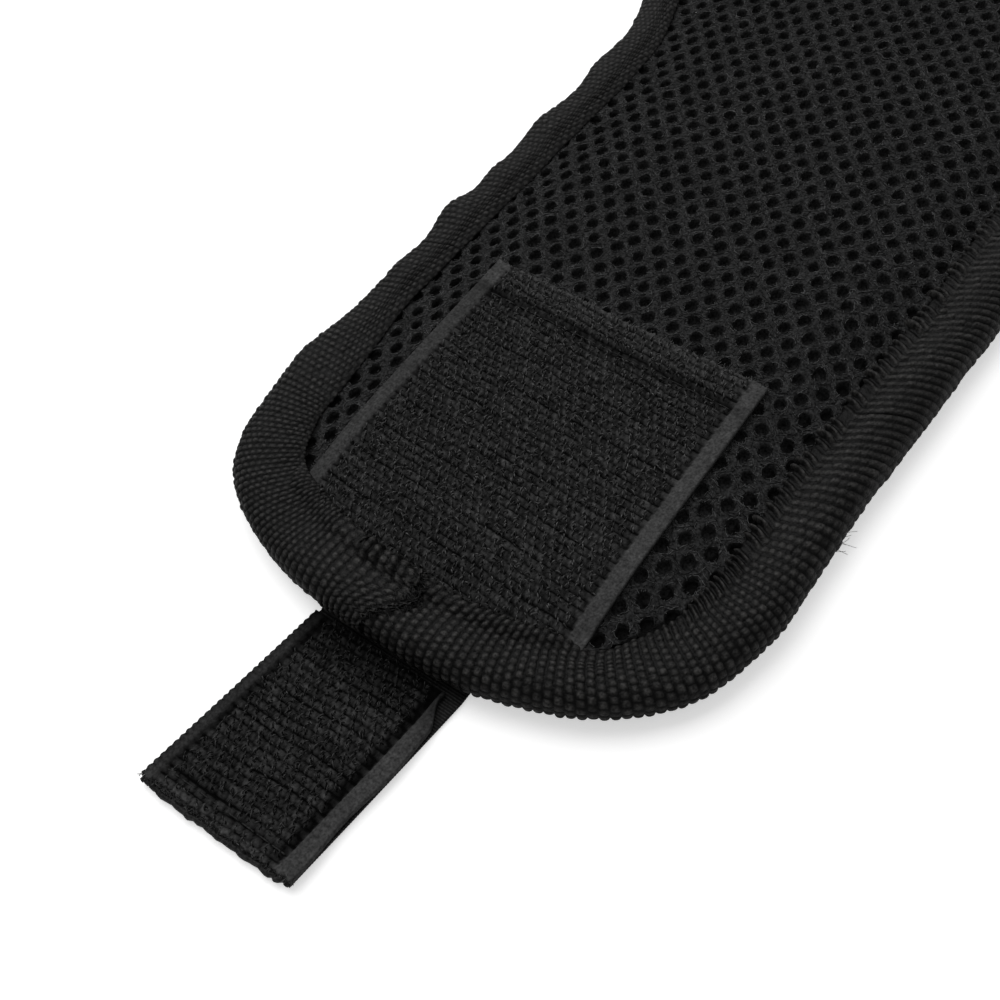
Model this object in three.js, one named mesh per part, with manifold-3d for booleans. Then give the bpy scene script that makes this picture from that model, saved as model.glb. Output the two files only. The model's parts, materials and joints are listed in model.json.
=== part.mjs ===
// A magnetic wristband, laid open with its mesh lining up: a padded band with a bound edge,
// magnets between its layers, a hook patch and a hook tab at one end and a loop strip under the other.
// Millimetres, +Z up. +X runs from the tab to the loop end, and the floor is at z = 0.

import * as THREE from 'three';
import Module from 'manifold-3d';
import { mergeVertices } from 'three/addons/utils/BufferGeometryUtils.js';

const wasm = await Module();
wasm.setup();

// The band
const BAND_LENGTH = 340;
const BAND_WIDTH = 87;
const CORNER_RADIUS = 30;
const CORNER_STEPS = 8;
const SEGMENT_COUNT = 8;
const SEGMENT_GAP = 0.3;

// Its layers, from the floor up
const SHELL_THICKNESS = 0.6;
const PAD_THICKNESS = 2.6;
const LINING_EDGE_THICKNESS = 1;
const LINING_CROWN = 1.4;
const SHOULDER_WIDTH = 4;
const SHOULDER_STEPS = 4;

// The tape folded over the edge
const BINDING_WIDTH = 10;
const BINDING_TAPE_THICKNESS = 0.8;
const BINDING_ROLL = 1.6;
const NOSE_DEPTH = 2.4;
const NOSE_STEPS = 8;
const LAYER_CLEARANCE = 0.3;

// The magnets
const MAGNET_DIAMETER = 20;
const MAGNET_THICKNESS = 2;
const MAGNET_SIDES = 32;
const MAGNET_ROWS = 3;
const MAGNET_EDGE_MARGIN = 10.5;
const FIRST_MAGNET_SEGMENT = 3;
const LAST_MAGNET_SEGMENT = 6;
const POCKET_CLEARANCE = 0.3;

// Hook tape, on the patch and on the tab
const HOOK_BASE_THICKNESS = 0.8;
const HOOK_HEIGHT = 0.8;
const SELVAGE_WIDTH = 2.8;
const PATCH_WIDTH = 50;
const PATCH_FAR_EDGE = 62;
const PATCH_OFFSET = 3;

// The tab and the loop strip, under the band
const TAB_WIDTH = 25;
const TAB_REACH = 31;
const TAB_ANCHOR_LENGTH = 30;
const TAB_GAP = 0.4;
const WEBBING_THICKNESS = 0.8;
const LOOP_WIDTH = 50;
const LOOP_LENGTH = 70;
const LOOP_CLEARANCE = 0.5;

// Levels and stations worked out from the sizes above
const START_X = (TAB_REACH - BAND_LENGTH) / 2;
const END_X = START_X + BAND_LENGTH;
const TAB_TIP_X = START_X - TAB_REACH;
const SEGMENT_LENGTH = BAND_LENGTH / SEGMENT_COUNT;
const BINDING_BOTTOM = WEBBING_THICKNESS;
const SHELL_BOTTOM = BINDING_BOTTOM + BINDING_TAPE_THICKNESS;
const PAD_BOTTOM = SHELL_BOTTOM + SHELL_THICKNESS;
const LINING_BOTTOM = PAD_BOTTOM + PAD_THICKNESS;
const LEDGE_TOP = LINING_BOTTOM + LINING_EDGE_THICKNESS;
const BINDING_TOP = LEDGE_TOP + BINDING_TAPE_THICKNESS;
const CROWN_TOP = LEDGE_TOP + LINING_CROWN;
const LAYER_INSET = BINDING_ROLL + LAYER_CLEARANCE;
const SHOULDER_INSET = BINDING_WIDTH + LAYER_CLEARANCE;
const PATCH_NEAR_EDGE = SHOULDER_INSET;
const MAGNET_ROW_SPAN = BAND_WIDTH - 2 * MAGNET_EDGE_MARGIN - MAGNET_DIAMETER;

const COLORS = {
  lining: 0x2b2b2c,
  pad: 0x3c3d40,
  shell: 0x1d1d1f,
  binding: 0x1a1a1b,
  magnet: 0xb9bcc0,
  hook: 0x212123,
  webbing: 0x1e1e20,
  loop: 0x262628,
};

function cloth(color) {
  return new THREE.MeshStandardMaterial({ color, roughness: 0.9, metalness: 0 });
}

function plating(color) {
  return new THREE.MeshStandardMaterial({ color, roughness: 0.3, metalness: 1 });
}

function named(name, geometry, material) {
  const mesh = new THREE.Mesh(geometry, material);
  mesh.name = name;
  return mesh;
}

// A closed solid through rings of points. Each ring turns anticlockwise seen from the far end,
// and flatten(point) gives the plane coordinates in which an end ring is filled.
function loft(rings, flatten) {
  const size = rings[0].length;
  const fill = (ring) => THREE.ShapeUtils.triangulateShape(ring.map(flatten), []);
  const triangles = [];
  for (let r = 0; r + 1 < rings.length; r += 1) {
    for (let k = 0; k < size; k += 1) {
      const a = r * size + k;
      const b = r * size + ((k + 1) % size);
      triangles.push(a, b, b + size, a, b + size, a + size);
    }
  }
  const last = (rings.length - 1) * size;
  for (const [a, b, c] of fill(rings[0])) triangles.push(a, c, b);
  for (const [a, b, c] of fill(rings.at(-1))) triangles.push(last + a, last + b, last + c);

  const geometry = new THREE.BufferGeometry();
  const points = rings.flat().flatMap((point) => point.toArray());
  geometry.setAttribute('position', new THREE.Float32BufferAttribute(points, 3));
  geometry.setIndex(triangles);
  return geometry;
}

const fromAbove = (point) => new THREE.Vector2(point.x, point.y);
const fromEnd = (point) => new THREE.Vector2(point.y, point.z);

// A section in the YZ plane, drawn anticlockwise, pulled along X
function pullAlongX(section, fromX, toX) {
  const ring = (x) => section.map(([y, z]) => new THREE.Vector3(x, y, z));
  return loft([ring(fromX), ring(toX)], fromEnd);
}

function toSolid(geometry) {
  const bare = geometry.clone();
  bare.deleteAttribute('normal');
  bare.deleteAttribute('uv');
  const merged = mergeVertices(bare);
  const vertProperties = new Float32Array(merged.attributes.position.array);
  const triVerts = new Uint32Array(merged.index.array);
  return new wasm.Manifold(new wasm.Mesh({ numProp: 3, vertProperties, triVerts }));
}

function toGeometry(solid) {
  const { vertProperties, triVerts } = solid.getMesh();
  const geometry = new THREE.BufferGeometry();
  geometry.setAttribute('position', new THREE.BufferAttribute(vertProperties, 3));
  geometry.setIndex(new THREE.BufferAttribute(triVerts, 1));
  return geometry;
}

// Segments are counted from 1, at the tab. Only the two ends of the band have no gap beside them.
function span(segment) {
  const gap = SEGMENT_GAP / 2;
  const from = START_X + (segment - 1) * SEGMENT_LENGTH;
  return {
    from: segment === 1 ? from : from + gap,
    to: segment === SEGMENT_COUNT ? from + SEGMENT_LENGTH : from + SEGMENT_LENGTH - gap,
  };
}

// The parts of a strip, given along X, that lie on each segment
function strips(fromX, toX) {
  const pieces = [];
  for (let segment = 1; segment <= SEGMENT_COUNT; segment += 1) {
    const { from, to } = span(segment);
    const piece = { segment, from: Math.max(from, fromX), to: Math.min(to, toX) };
    if (piece.to - piece.from > SEGMENT_GAP) pieces.push(piece);
  }
  return pieces;
}

// One rounded corner of the band as edge stations, each a point and the way in from it
function corner(centerX, centerY, fromAngle) {
  const stations = [];
  for (let step = 0; step <= CORNER_STEPS; step += 1) {
    const angle = fromAngle + ((Math.PI / 2) * step) / CORNER_STEPS;
    const out = new THREE.Vector2(Math.cos(angle), Math.sin(angle));
    const edge = new THREE.Vector2(centerX, centerY).addScaledVector(out, CORNER_RADIUS);
    stations.push({ edge, inward: out.negate() });
  }
  return stations;
}

function sideStation(x, side) {
  const edge = new THREE.Vector2(x, (side * BAND_WIDTH) / 2);
  return { edge, inward: new THREE.Vector2(0, -side) };
}

// The band's outer edge on one segment, anticlockwise seen from above, as runs of stations.
// A segment at an end has one run, and the others have a left run and a right run.
function edgeRuns(segment) {
  const { from, to } = span(segment);
  const centerY = BAND_WIDTH / 2 - CORNER_RADIUS;
  if (segment === 1) {
    const x = START_X + CORNER_RADIUS;
    const corners = [...corner(x, centerY, Math.PI / 2), ...corner(x, -centerY, Math.PI)];
    return [[sideStation(to, 1), ...corners, sideStation(to, -1)]];
  }
  if (segment === SEGMENT_COUNT) {
    const x = END_X - CORNER_RADIUS;
    const corners = [...corner(x, -centerY, -Math.PI / 2), ...corner(x, centerY, 0)];
    return [[sideStation(from, -1), ...corners, sideStation(from, 1)]];
  }
  const left = [sideStation(to, 1), sideStation(from, 1)];
  const right = [sideStation(from, -1), sideStation(to, -1)];
  return [left, right];
}

function atInset({ edge, inward }, inset, z) {
  const point = edge.clone().addScaledVector(inward, inset);
  return new THREE.Vector3(point.x, point.y, z);
}

// A layer of one segment, through levels of [inset from the band's edge, height]
function layer(segment, levels) {
  const stations = edgeRuns(segment).flat();
  const ring = ([inset, z]) => stations.map((station) => atInset(station, inset, z));
  return loft(levels.map(ring), fromAbove);
}

function shellGeometry(segment) {
  return layer(segment, [[LAYER_INSET, SHELL_BOTTOM], [LAYER_INSET, PAD_BOTTOM]]);
}

function magnetCenters(segment) {
  if (segment < FIRST_MAGNET_SEGMENT || segment > LAST_MAGNET_SEGMENT) return [];
  const { from, to } = span(segment);
  const centers = [];
  for (let row = 0; row < MAGNET_ROWS; row += 1) {
    const across = row / (MAGNET_ROWS - 1) - 1 / 2;
    centers.push(new THREE.Vector2((from + to) / 2, across * MAGNET_ROW_SPAN));
  }
  return centers;
}

function disc(diameter, height) {
  const radius = diameter / 2;
  const geometry = new THREE.CylinderGeometry(radius, radius, height, MAGNET_SIDES);
  return geometry.rotateX(Math.PI / 2);
}

// The foam, with a pocket from below for each magnet
function padGeometry(segment) {
  const foam = layer(segment, [[LAYER_INSET, PAD_BOTTOM], [LAYER_INSET, LINING_BOTTOM]]);
  const centers = magnetCenters(segment);
  if (centers.length === 0) return foam;
  const width = MAGNET_DIAMETER + 2 * POCKET_CLEARANCE;
  const depth = MAGNET_THICKNESS + POCKET_CLEARANCE;
  let solid = toSolid(foam);
  for (const { x, y } of centers) {
    const pocket = disc(width, 2 * depth).translate(x, y, PAD_BOTTOM);
    solid = solid.subtract(toSolid(pocket));
  }
  return toGeometry(solid);
}

// The lining, with a ledge under the binding and a rounded shoulder up to its crown
function liningGeometry(segment) {
  const levels = [[LAYER_INSET, LINING_BOTTOM], [LAYER_INSET, LEDGE_TOP]];
  for (let step = 0; step <= SHOULDER_STEPS; step += 1) {
    const angle = ((Math.PI / 2) * step) / SHOULDER_STEPS;
    const inset = SHOULDER_INSET + SHOULDER_WIDTH * (1 - Math.cos(angle));
    levels.push([inset, LEDGE_TOP + LINING_CROWN * Math.sin(angle)]);
  }
  return layer(segment, levels);
}

// The folded tape's section as points of [inset, z], anticlockwise: round the nose, then inside
function bindingSection() {
  const middle = (BINDING_BOTTOM + BINDING_TOP) / 2;
  const half = (BINDING_TOP - BINDING_BOTTOM) / 2;
  const inside = [
    [BINDING_WIDTH, BINDING_BOTTOM],
    [BINDING_WIDTH, SHELL_BOTTOM],
    [BINDING_ROLL, SHELL_BOTTOM],
    [BINDING_ROLL, LEDGE_TOP],
    [BINDING_WIDTH, LEDGE_TOP],
    [BINDING_WIDTH, BINDING_TOP],
  ];
  const nose = [];
  for (let step = 0; step <= NOSE_STEPS; step += 1) {
    const angle = Math.PI / 2 + (Math.PI * step) / NOSE_STEPS;
    nose.push([NOSE_DEPTH * (1 + Math.cos(angle)), middle + half * Math.sin(angle)]);
  }
  return [...inside, ...nose];
}

function bindingGeometry(run) {
  const section = bindingSection();
  const rings = run.map((station) => section.map(([inset, z]) => atInset(station, inset, z)));
  const outline = new Map();
  for (const ring of rings) {
    ring.forEach((point, k) => outline.set(point, new THREE.Vector2(...section[k])));
  }
  return loft(rings, (point) => outline.get(point));
}

// Hook tape: a base with bare selvages at both sides of the hook field
function hookTapeGeometry(width, centerY, bottom, from, to) {
  const edge = width / 2;
  const field = edge - SELVAGE_WIDTH;
  const base = bottom + HOOK_BASE_THICKNESS;
  const top = base + HOOK_HEIGHT;
  const section = [
    [-edge, bottom], [edge, bottom], [edge, base], [field, base],
    [field, top], [-field, top], [-field, base], [-edge, base],
  ];
  return pullAlongX(section.map(([y, z]) => [centerY + y, z]), from, to);
}

function stripGeometry(width, bottom, top, from, to) {
  const edge = width / 2;
  return pullAlongX([[-edge, bottom], [edge, bottom], [edge, top], [-edge, top]], from, to);
}

function bindingMeshes(segment) {
  const runs = edgeRuns(segment);
  const sides = runs.length === 1 ? ['end'] : ['left', 'right'];
  return runs.map((run, k) => {
    return named(`binding_${sides[k]}_${segment}`, bindingGeometry(run), cloth(COLORS.binding));
  });
}

function magnetMeshes(segment) {
  return magnetCenters(segment).map(({ x, y }, row) => {
    const geometry = disc(MAGNET_DIAMETER, MAGNET_THICKNESS);
    const magnet = named(`magnet_${segment}_${row + 1}`, geometry, plating(COLORS.magnet));
    magnet.position.set(x, y, PAD_BOTTOM + MAGNET_THICKNESS / 2);
    return magnet;
  });
}

function bandSegment(segment) {
  const group = new THREE.Group();
  group.add(named(`outer_shell_${segment}`, shellGeometry(segment), cloth(COLORS.shell)));
  group.add(named(`foam_pad_${segment}`, padGeometry(segment), cloth(COLORS.pad)));
  group.add(named(`mesh_lining_${segment}`, liningGeometry(segment), cloth(COLORS.lining)));
  group.add(...bindingMeshes(segment));
  const magnets = magnetMeshes(segment);
  if (magnets.length > 0) group.add(...magnets);
  return group;
}

function hookPatch() {
  const group = new THREE.Group();
  for (const { segment, from, to } of strips(START_X + PATCH_NEAR_EDGE, START_X + PATCH_FAR_EDGE)) {
    const geometry = hookTapeGeometry(PATCH_WIDTH, PATCH_OFFSET, CROWN_TOP, from, to);
    group.add(named(`hook_patch_${segment}`, geometry, cloth(COLORS.hook)));
  }
  return group;
}

// Where the loop strip ends, so that its corners clear the rounded inner edge of the binding
function loopEndX() {
  const reach = CORNER_RADIUS - BINDING_WIDTH - LOOP_CLEARANCE;
  const across = Math.max(LOOP_WIDTH / 2 - (BAND_WIDTH / 2 - CORNER_RADIUS), 0);
  return END_X - CORNER_RADIUS + Math.sqrt(reach ** 2 - across ** 2);
}

function loopStrip() {
  const group = new THREE.Group();
  const toX = loopEndX();
  for (const { segment, from, to } of strips(toX - LOOP_LENGTH, toX)) {
    const geometry = stripGeometry(LOOP_WIDTH, 0, SHELL_BOTTOM, from, to);
    group.add(named(`loop_strip_${segment}`, geometry, cloth(COLORS.loop)));
  }
  return group;
}

function tab() {
  const group = new THREE.Group();
  const rootX = START_X - TAB_GAP;
  const anchorX = START_X + TAB_ANCHOR_LENGTH;
  const anchor = stripGeometry(TAB_WIDTH, 0, WEBBING_THICKNESS, START_X, anchorX);
  const webbing = stripGeometry(TAB_WIDTH, 0, WEBBING_THICKNESS, TAB_TIP_X, rootX);
  const hooks = hookTapeGeometry(TAB_WIDTH, 0, WEBBING_THICKNESS, TAB_TIP_X, rootX);
  group.add(named('tab_anchor', anchor, cloth(COLORS.webbing)));
  group.add(named('tab_webbing', webbing, cloth(COLORS.webbing)));
  group.add(named('tab_hook_tape', hooks, cloth(COLORS.hook)));
  return group;
}

const wristband = new THREE.Group();
for (let segment = 1; segment <= SEGMENT_COUNT; segment += 1) wristband.add(bandSegment(segment));
wristband.add(hookPatch(), loopStrip(), tab());

export default wristband;
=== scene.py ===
"""The looks of a magnetic wristband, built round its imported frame. Lengths are in metres, +Z is up."""

import json
import math

import bpy
import numpy as np
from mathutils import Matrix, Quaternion, Vector


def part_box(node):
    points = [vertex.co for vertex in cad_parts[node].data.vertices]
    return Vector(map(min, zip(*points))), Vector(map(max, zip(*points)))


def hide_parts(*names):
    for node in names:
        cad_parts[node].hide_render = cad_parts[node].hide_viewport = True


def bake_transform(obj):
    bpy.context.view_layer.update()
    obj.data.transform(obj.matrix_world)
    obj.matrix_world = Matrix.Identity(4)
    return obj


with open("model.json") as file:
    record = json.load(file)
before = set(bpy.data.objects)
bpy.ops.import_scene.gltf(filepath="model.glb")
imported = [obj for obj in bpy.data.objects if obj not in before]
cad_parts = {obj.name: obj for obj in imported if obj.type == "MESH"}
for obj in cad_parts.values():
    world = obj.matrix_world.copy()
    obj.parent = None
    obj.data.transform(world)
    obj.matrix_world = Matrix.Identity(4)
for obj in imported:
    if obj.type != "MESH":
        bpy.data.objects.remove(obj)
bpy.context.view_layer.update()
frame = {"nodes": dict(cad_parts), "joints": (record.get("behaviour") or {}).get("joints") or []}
MM = 0.001

# The band's own sizes, read from the frame
SIDE_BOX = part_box("binding_left_2")
START_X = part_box("binding_end_1")[0].x
END_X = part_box("binding_end_8")[1].x
BAND_LENGTH = END_X - START_X
MIDDLE_X = (START_X + END_X) / 2
HALF_WIDTH = SIDE_BOX[1].y
TAPE_REACH = HALF_WIDTH - SIDE_BOX[0].y
TAPE_BOTTOM = SIDE_BOX[0].z
LINING_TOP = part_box("mesh_lining_4")[1].z
PAD_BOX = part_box("foam_pad_4")
SHELL_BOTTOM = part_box("outer_shell_4")[0].z
PATCH_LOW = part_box("hook_patch_1")[0]
PATCH_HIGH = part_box("hook_patch_2")[1]
LOOP_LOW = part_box("loop_strip_7")[0]
LOOP_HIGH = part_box("loop_strip_8")[1]
ANCHOR_END_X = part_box("tab_anchor")[1].x
WEBBING_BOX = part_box("tab_webbing")
TAB_TAPE_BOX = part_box("tab_hook_tape")
HINGE_X = sorted(j["pos_m"][0] for j in frame["joints"] if j["child"].startswith("band"))
SEGMENT = HINGE_X[1] - HINGE_X[0]
CUT_X = [x + SEGMENT / 2 for x in HINGE_X[:-1]]
PIECES = len(HINGE_X)
MAGNET_NODES = sorted(n for n in frame["nodes"] if n.startswith("magnet"))
CORNER_POINTS = [v.co.x for v in frame["nodes"]["binding_end_1"].data.vertices if v.co.y > HALF_WIDTH - 1e-5]
CORNER = min(CORNER_POINTS) - START_X

# The near end is sewn lopsided, so that its right corner is rounder than its left one
NEAR_RIGHT_CORNER = CORNER + 6 * MM
NEAR_LEFT_CORNER = CORNER - 3 * MM

# Where the sewn edge strays from its outline: x, y, reach and how far out
SWAYS = np.array((
    (-112, -44, 24, -1.5), (-143, 40, 8, 0.8), (-152, 25, 9, -1.0), (-152, -18, 9, -0.8), (-140, -38, 9, 0.5),
    (-92, -44, 15, -0.5), (-9, 44, 15, 6.0), (62, -44, 20, -1.0), (118, 44, 18, -0.9),
)) * MM

# Where the tape's inner edge strays: x, y, reach and how much further in; it is narrow on the left side
STRAYS = np.array(((-141, 20, 12, 1.3), (-134, 31, 6, 0.8), (-141, -24, 5, -2.2))) * MM
LEFT_SIDE_Y = (14 * MM, 24 * MM)
LEFT_NARROW = 2.4 * MM
NARROW_START = 26 * MM
NARROW_REACH = 28 * MM

# The lining's open mesh: two sets of oval holes, each in the gaps of the other
HOLE_PITCH = np.array((5.307, 4.16)) * MM
HOLE_ORIGIN = np.array((-80.75, -22.06)) * MM
HOLE_TURN = math.radians(1.34)
HOLE_RADII = np.array((1.21, 0.98)) * MM
HOLE_SIDES = 18
HOLE_DEPTH = 1.7 * MM
HOLE_FLOOR = PAD_BOX[1].z - 0.1 * MM
HOLE_JITTER = 0.08 * MM
HOLE_VARIES = 0.05
# The rings of a hole's cup: share of the hole's size, lift in millimetres and shade, the shade being painted
# shade down the cup's walls
CUP_RINGS = ((1.14, -0.03, 0.62), (1.02, -0.18, 0.55), (0.92, -0.65, 0.5), (0.82, -1.3, 0.6))
# Painted shade on the floors of shallow holes
SHALLOW_SHARE = 0.85
SHALLOW_SHADE = 0.2
YARN_RADIUS = 0.055 * MM
YARN_COUNT = 27
YARN_STEPS = 4
YARN_TURN = 0.6
YARN_STRAY = 0.8
YARN_INNER = -0.1
YARN_LIFT = 0.05 * MM
LINING_TUCK = 1.7 * MM
LINING_EDGE_DROP = 1.5 * MM
LINING_SLOPE = 9 * MM
LINING_SWELL = 0.28 * MM
LINING_SINK = 0.15 * MM
SWELL_LENGTH = 13 * MM
SWELL_WIDTH = 9 * MM
SWELL_DRIFT = 40 * MM
RIPPLE = 0.6
RIPPLE_LENGTH = 7 * MM
LEVEL_BESIDE_PATCH = 8 * MM
LEVEL_BESIDE_TAPE = 6 * MM

# The edge tape: ribs across it, each rib a row of cells set like bricks
RIB_PITCH = 1.45 * MM
LEFT_PITCH = 1.2 * MM
TAPE_CELLS = 23
LEFT_CELLS = 25
CELL_STEPS = 6
TAPE_COLUMNS = 150
CELL_RELIEF = 0.36 * MM
CELL_CUT = 0.6
RIGHT_RIBBED = 0.65
RIGHT_DIM = 0.25
LEFT_DIM = 0.1
LEFT_FLAT = 0.1
WOVEN_TONE = 1.0
GATHERS = np.array(((-154, 8, 7, 0.3),)) * MM
LIP_LENGTH = 3.6 * MM
LIP_NOTCH = 2.0 * MM
LIP_RELIEF = 0.65 * MM
LIP_BREAKS = np.array(((-140, -31, 12, 0.9), (-150, 14, 9, 0.35))) * (MM, MM, MM, 1)
LEAN = 0.5
LEAN_REACH = 9 * MM
LIP_LEAN = 0.5
SEAM_INSET = 7.4 * MM
TAPE_PLAIN = (
    (9.2, 4.4), (10.1, 4.5), (10.1, 4.95), (9.1, 5.2), (8.0, 5.35), (7.0, 5.45), (6.0, 5.5), (4.8, 5.55),
    (3.6, 5.55), (2.0, 5.3), (0.8, 4.7),
)
TAPE_LIPPED = (
    (9.2, 4.6), (10.2, 4.7), (10.2, 5.2), (9.3, 5.5), (8.3, 5.45), (7.4, 5.4), (6.5, 5.6), (5.1, 5.9),
    (3.6, 5.9), (2.0, 5.6), (0.8, 4.9),
)
TAPE_ROUND = (
    (0.2, 3.6), (0.15, 2.4), (0.6, 1.2), (1.8, 0.45), (3.4, 0.3),
    (5.8, 0.3), (7.2, 0.8), (8.4, 0.4), (9.6, 0.3), (10.1, 0.5), (9.5, 0.8),
)
TAPE_WAVES = ((7, 0.16, 0.4), (19, 0.14, 2.1), (33, 0.12, 4.0), (58, 0.08, 1.3))
PUCKERS = np.array((
    (-121, 7, 1.2), (-99, 5, 0.4), (-83, 4.5, 1.4), (-72, 3.5, 0.6), (-57, 6, 1.0), (-37, 6, 1.0),
    (8, 6, 1.0), (29, 7, 1.4), (52, 5, 1.0), (75, 6, 1.3), (98, 5, 0.8), (121, 6, 1.2), (143, 6, 0.9),
)) * MM
WRINKLES = ((8.3 * MM, 0.07 * MM), (13.9 * MM, 0.1 * MM))
WRINKLE_SLANT = 0.9
STITCH_STATIONS = 10
STITCH_GAP = 3
STITCH_RADIUS = 0.15 * MM

# The tape's two ends meet at the near end, the left one lapped over the right one
JOIN_START_Y = 12 * MM
JOIN_UNDER_Y = 7 * MM
JOIN_END_Y = 2.0 * MM
JOIN_LINE = np.array(((0, 4.6), (1.5, 4.2), (4.0, 2.0), (6.0, -0.2), (7.5, 0.3), (10.0, 1.3))) * MM
JOIN_RISE = 0.3 * MM
JOIN_SINK = 0.3 * MM
# How dark the painted shadow of the lapped end is on the end beneath it
JOIN_DARK = 0.55
JOIN_RAGGED = 0.25 * MM
JOIN_HAIRS = 260
JOIN_PINCH = (1 * MM, 6.2 * MM, 0.9 * MM)
PINCH_REACH = (2.2 * MM, 1.5 * MM)
KNOT_SHIFT = np.array((0.5, -0.4, -0.3)) * MM
KNOT_THREADS = 16
KNOT_STEPS = 9
STRAY_HAIRS = 7
STRAY_PLACE = (-108, -41.8, 3.4)
HAIR_STEPS = 6
HAIR_BOW = 0.35

# The hook tapes of the patch and the tab, and the loop tape
TAPE_THICKNESS = 0.7 * MM
CLOTH_STEPS = (0.22 * MM, 0.26 * MM)
PATCH_SELVAGES = (2.7 * MM, 2.7 * MM)
TAB_SELVAGES = (1.8 * MM, 2.7 * MM)
SELVAGE_RIB = 0.9 * MM
KNIT_RELIEF = 0.3 * MM
GROUND_TONE = 0.57
KNIT_ROW = 1.34 * MM
KNIT_STEP = 1.6 * MM
KNIT_SLANT = 0.3
KNIT_UNEVEN = 0.13
KNIT_TABLE = 61
ROW_GROUP = 4
ROW_CUT = 0.85
STEP_CUT = 0.7
ROW_LINE = 0.13 * MM
ROW_WAVE = 0.12
ROW_WAVE_LENGTH = 2.3 * MM
LINE_STRENGTH = (0.65, 0.35)
LINE_WAVE_LENGTH = 3.1 * MM
LINE_PHASE = 2.4
HOOK_PLACES = np.array((0.15, 0.38, 0.62, 0.85))
HOOK_STRAY = 0.15 * MM
HOOK_TURN = 0.6
WEBBING_RIB = 0.42 * MM
WEBBING_STEP = 0.1 * MM
HOOK_PATH = np.array(((0, -0.1), (0.02, 0.35), (0.14, 0.68), (0.4, 0.82), (0.64, 0.66), (0.7, 0.35))) * MM
HOOK_RADIUS = np.array((0.13, 0.13, 0.13, 0.13, 0.12, 0.05)) * MM
STITCH_LENGTH = 2.6 * MM
SEAM_THREAD = 0.13 * MM
PATCH_FRINGE = (260, 0.2, 0.8, 0.15)
TAB_FRINGE = (500, 0.15, 0.6, 0.1)
FRAY_RADIUS = 0.06 * MM
PATCH_SEAM = 6 * MM
PATCH_SEAM_REACH = 1.1 * MM
PATCH_RISE = 0.2 * MM
PATCH_DIP = 0.6 * MM
PATCH_SKEW = 0.025
PATCH_TILT = 0.037
PATCH_NARROW = 0.985
PATCH_DRIFT = 0.8 * MM
PATCH_TUCK = 2.0 * MM
TAB_SEAM = 2.3 * MM
TAB_TILT = -0.05
TAB_SHIFT = 0.4 * MM
TAB_DRIFT = 2.8 * MM
TAB_WIDEN = 0.02
TAB_SLANT = 0.4 * MM
TAB_CURL = 0.5 * MM
TAB_BARE_X = START_X - 6 * MM
TAB_OVERHANG = 1.0 * MM
TAB_RIM = 0.22 * MM
BEAD_PITCH = 1.05 * MM
LOOP_PITCH = 1.15 * MM
LOOP_PATH = np.array((
    (-0.4, 0.1), (-0.45, -0.45), (-0.15, -0.75), (0.2, -0.75), (0.45, -0.4), (0.35, 0.1),
)) * MM
LOOP_RADIUS = 0.09 * MM
LOOP_STRAY = 0.25 * MM
LOOP_INSET = 0.5 * MM

# The camera, from the vanishing of the hole rows in the photograph
CAMERA_PLACE = Vector((-196.53, -69.15, 143.65)) * MM
CAMERA_AIM = Vector((-128.98, -0.39, 7.1)) * MM
CAMERA_ROLL = math.radians(-10.85)
CAMERA_LENS = 43.2
CAMERA_SENSOR = 36
CAMERA_NEAR = 5 * MM

# Seeds of the random draws, one for each kind of piece
LINING_SEED = 11
TAPE_SEED = 17
PATCH_SEED = 23
TAB_SEED = 29
LOOP_SEED = 31
STRAP_SEED = 37


def smooth(x):
    """A step from 0 to 1 with soft ends."""
    x = np.clip(x, 0, 1)
    return x * x * (3 - 2 * x)


def unit(v):
    return v / np.linalg.norm(v, axis=-1, keepdims=True)


def grid(low, high, steps):
    """Places over a rectangle, as arrays of x and y with a row for each x."""
    lines = [np.linspace(low[i], high[i], max(2, round((high[i] - low[i]) / steps[i]) + 1)) for i in (0, 1)]
    return np.meshgrid(*lines, indexing="ij")


def corner_radius(x, y):
    """The radius of the band's corner on that side of its middle."""
    near = np.where(y > 0, NEAR_LEFT_CORNER, NEAR_RIGHT_CORNER)
    return np.where(x < MIDDLE_X, near, CORNER)


def humps(table, x, y):
    """The sum at a point of round humps, each given by its x, y, reach and height."""
    return sum(size * np.exp(-((x - at) ** 2 + (y - by) ** 2) / reach ** 2) for at, by, reach, size in table)


def left_share(y):
    """1 along the band's left side, where the tape lies flat, and 0 along its ends and its right side."""
    return smooth((y - LEFT_SIDE_Y[0]) / (LEFT_SIDE_Y[1] - LEFT_SIDE_Y[0]))


def inset(x, y):
    """How far inside the band's sewn edge a point lies."""
    radius = corner_radius(x, y)
    dx = np.abs(x - MIDDLE_X) - (BAND_LENGTH / 2 - radius)
    dy = np.abs(y) - (HALF_WIDTH - radius)
    outside = np.hypot(np.maximum(dx, 0), np.maximum(dy, 0))
    return radius - outside - np.minimum(np.maximum(dx, dy), 0) + humps(SWAYS, x, y)


def tape_reach(x, y):
    """How far in from the band's edge the tape comes on the upper face."""
    narrow = left_share(y) * smooth((x - START_X - NARROW_START) / NARROW_REACH)
    return TAPE_REACH - LEFT_NARROW * narrow + humps(STRAYS, x, y)


def half_width(x, side, margin):
    """Half the band's width at x on one side, on the line that lies margin inside its outline."""
    radius = corner_radius(x, side)
    into = np.clip(np.abs(x - MIDDLE_X) - (BAND_LENGTH / 2 - radius), 0, radius - margin)
    return HALF_WIDTH - radius + np.sqrt((radius - margin) ** 2 - into ** 2)


def piece_of(x):
    """Which of the band's bending pieces, counted from 1, each x lies in."""
    return np.searchsorted(CUT_X, x) + 1


def grid_quads(rows, columns):
    """Faces of a grid of points counted row by row."""
    first = np.arange(rows - 1)[:, None] * columns + np.arange(columns - 1)[None, :]
    return np.stack([first, first + 1, first + columns + 1, first + columns], -1).reshape(-1, 4)


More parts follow.
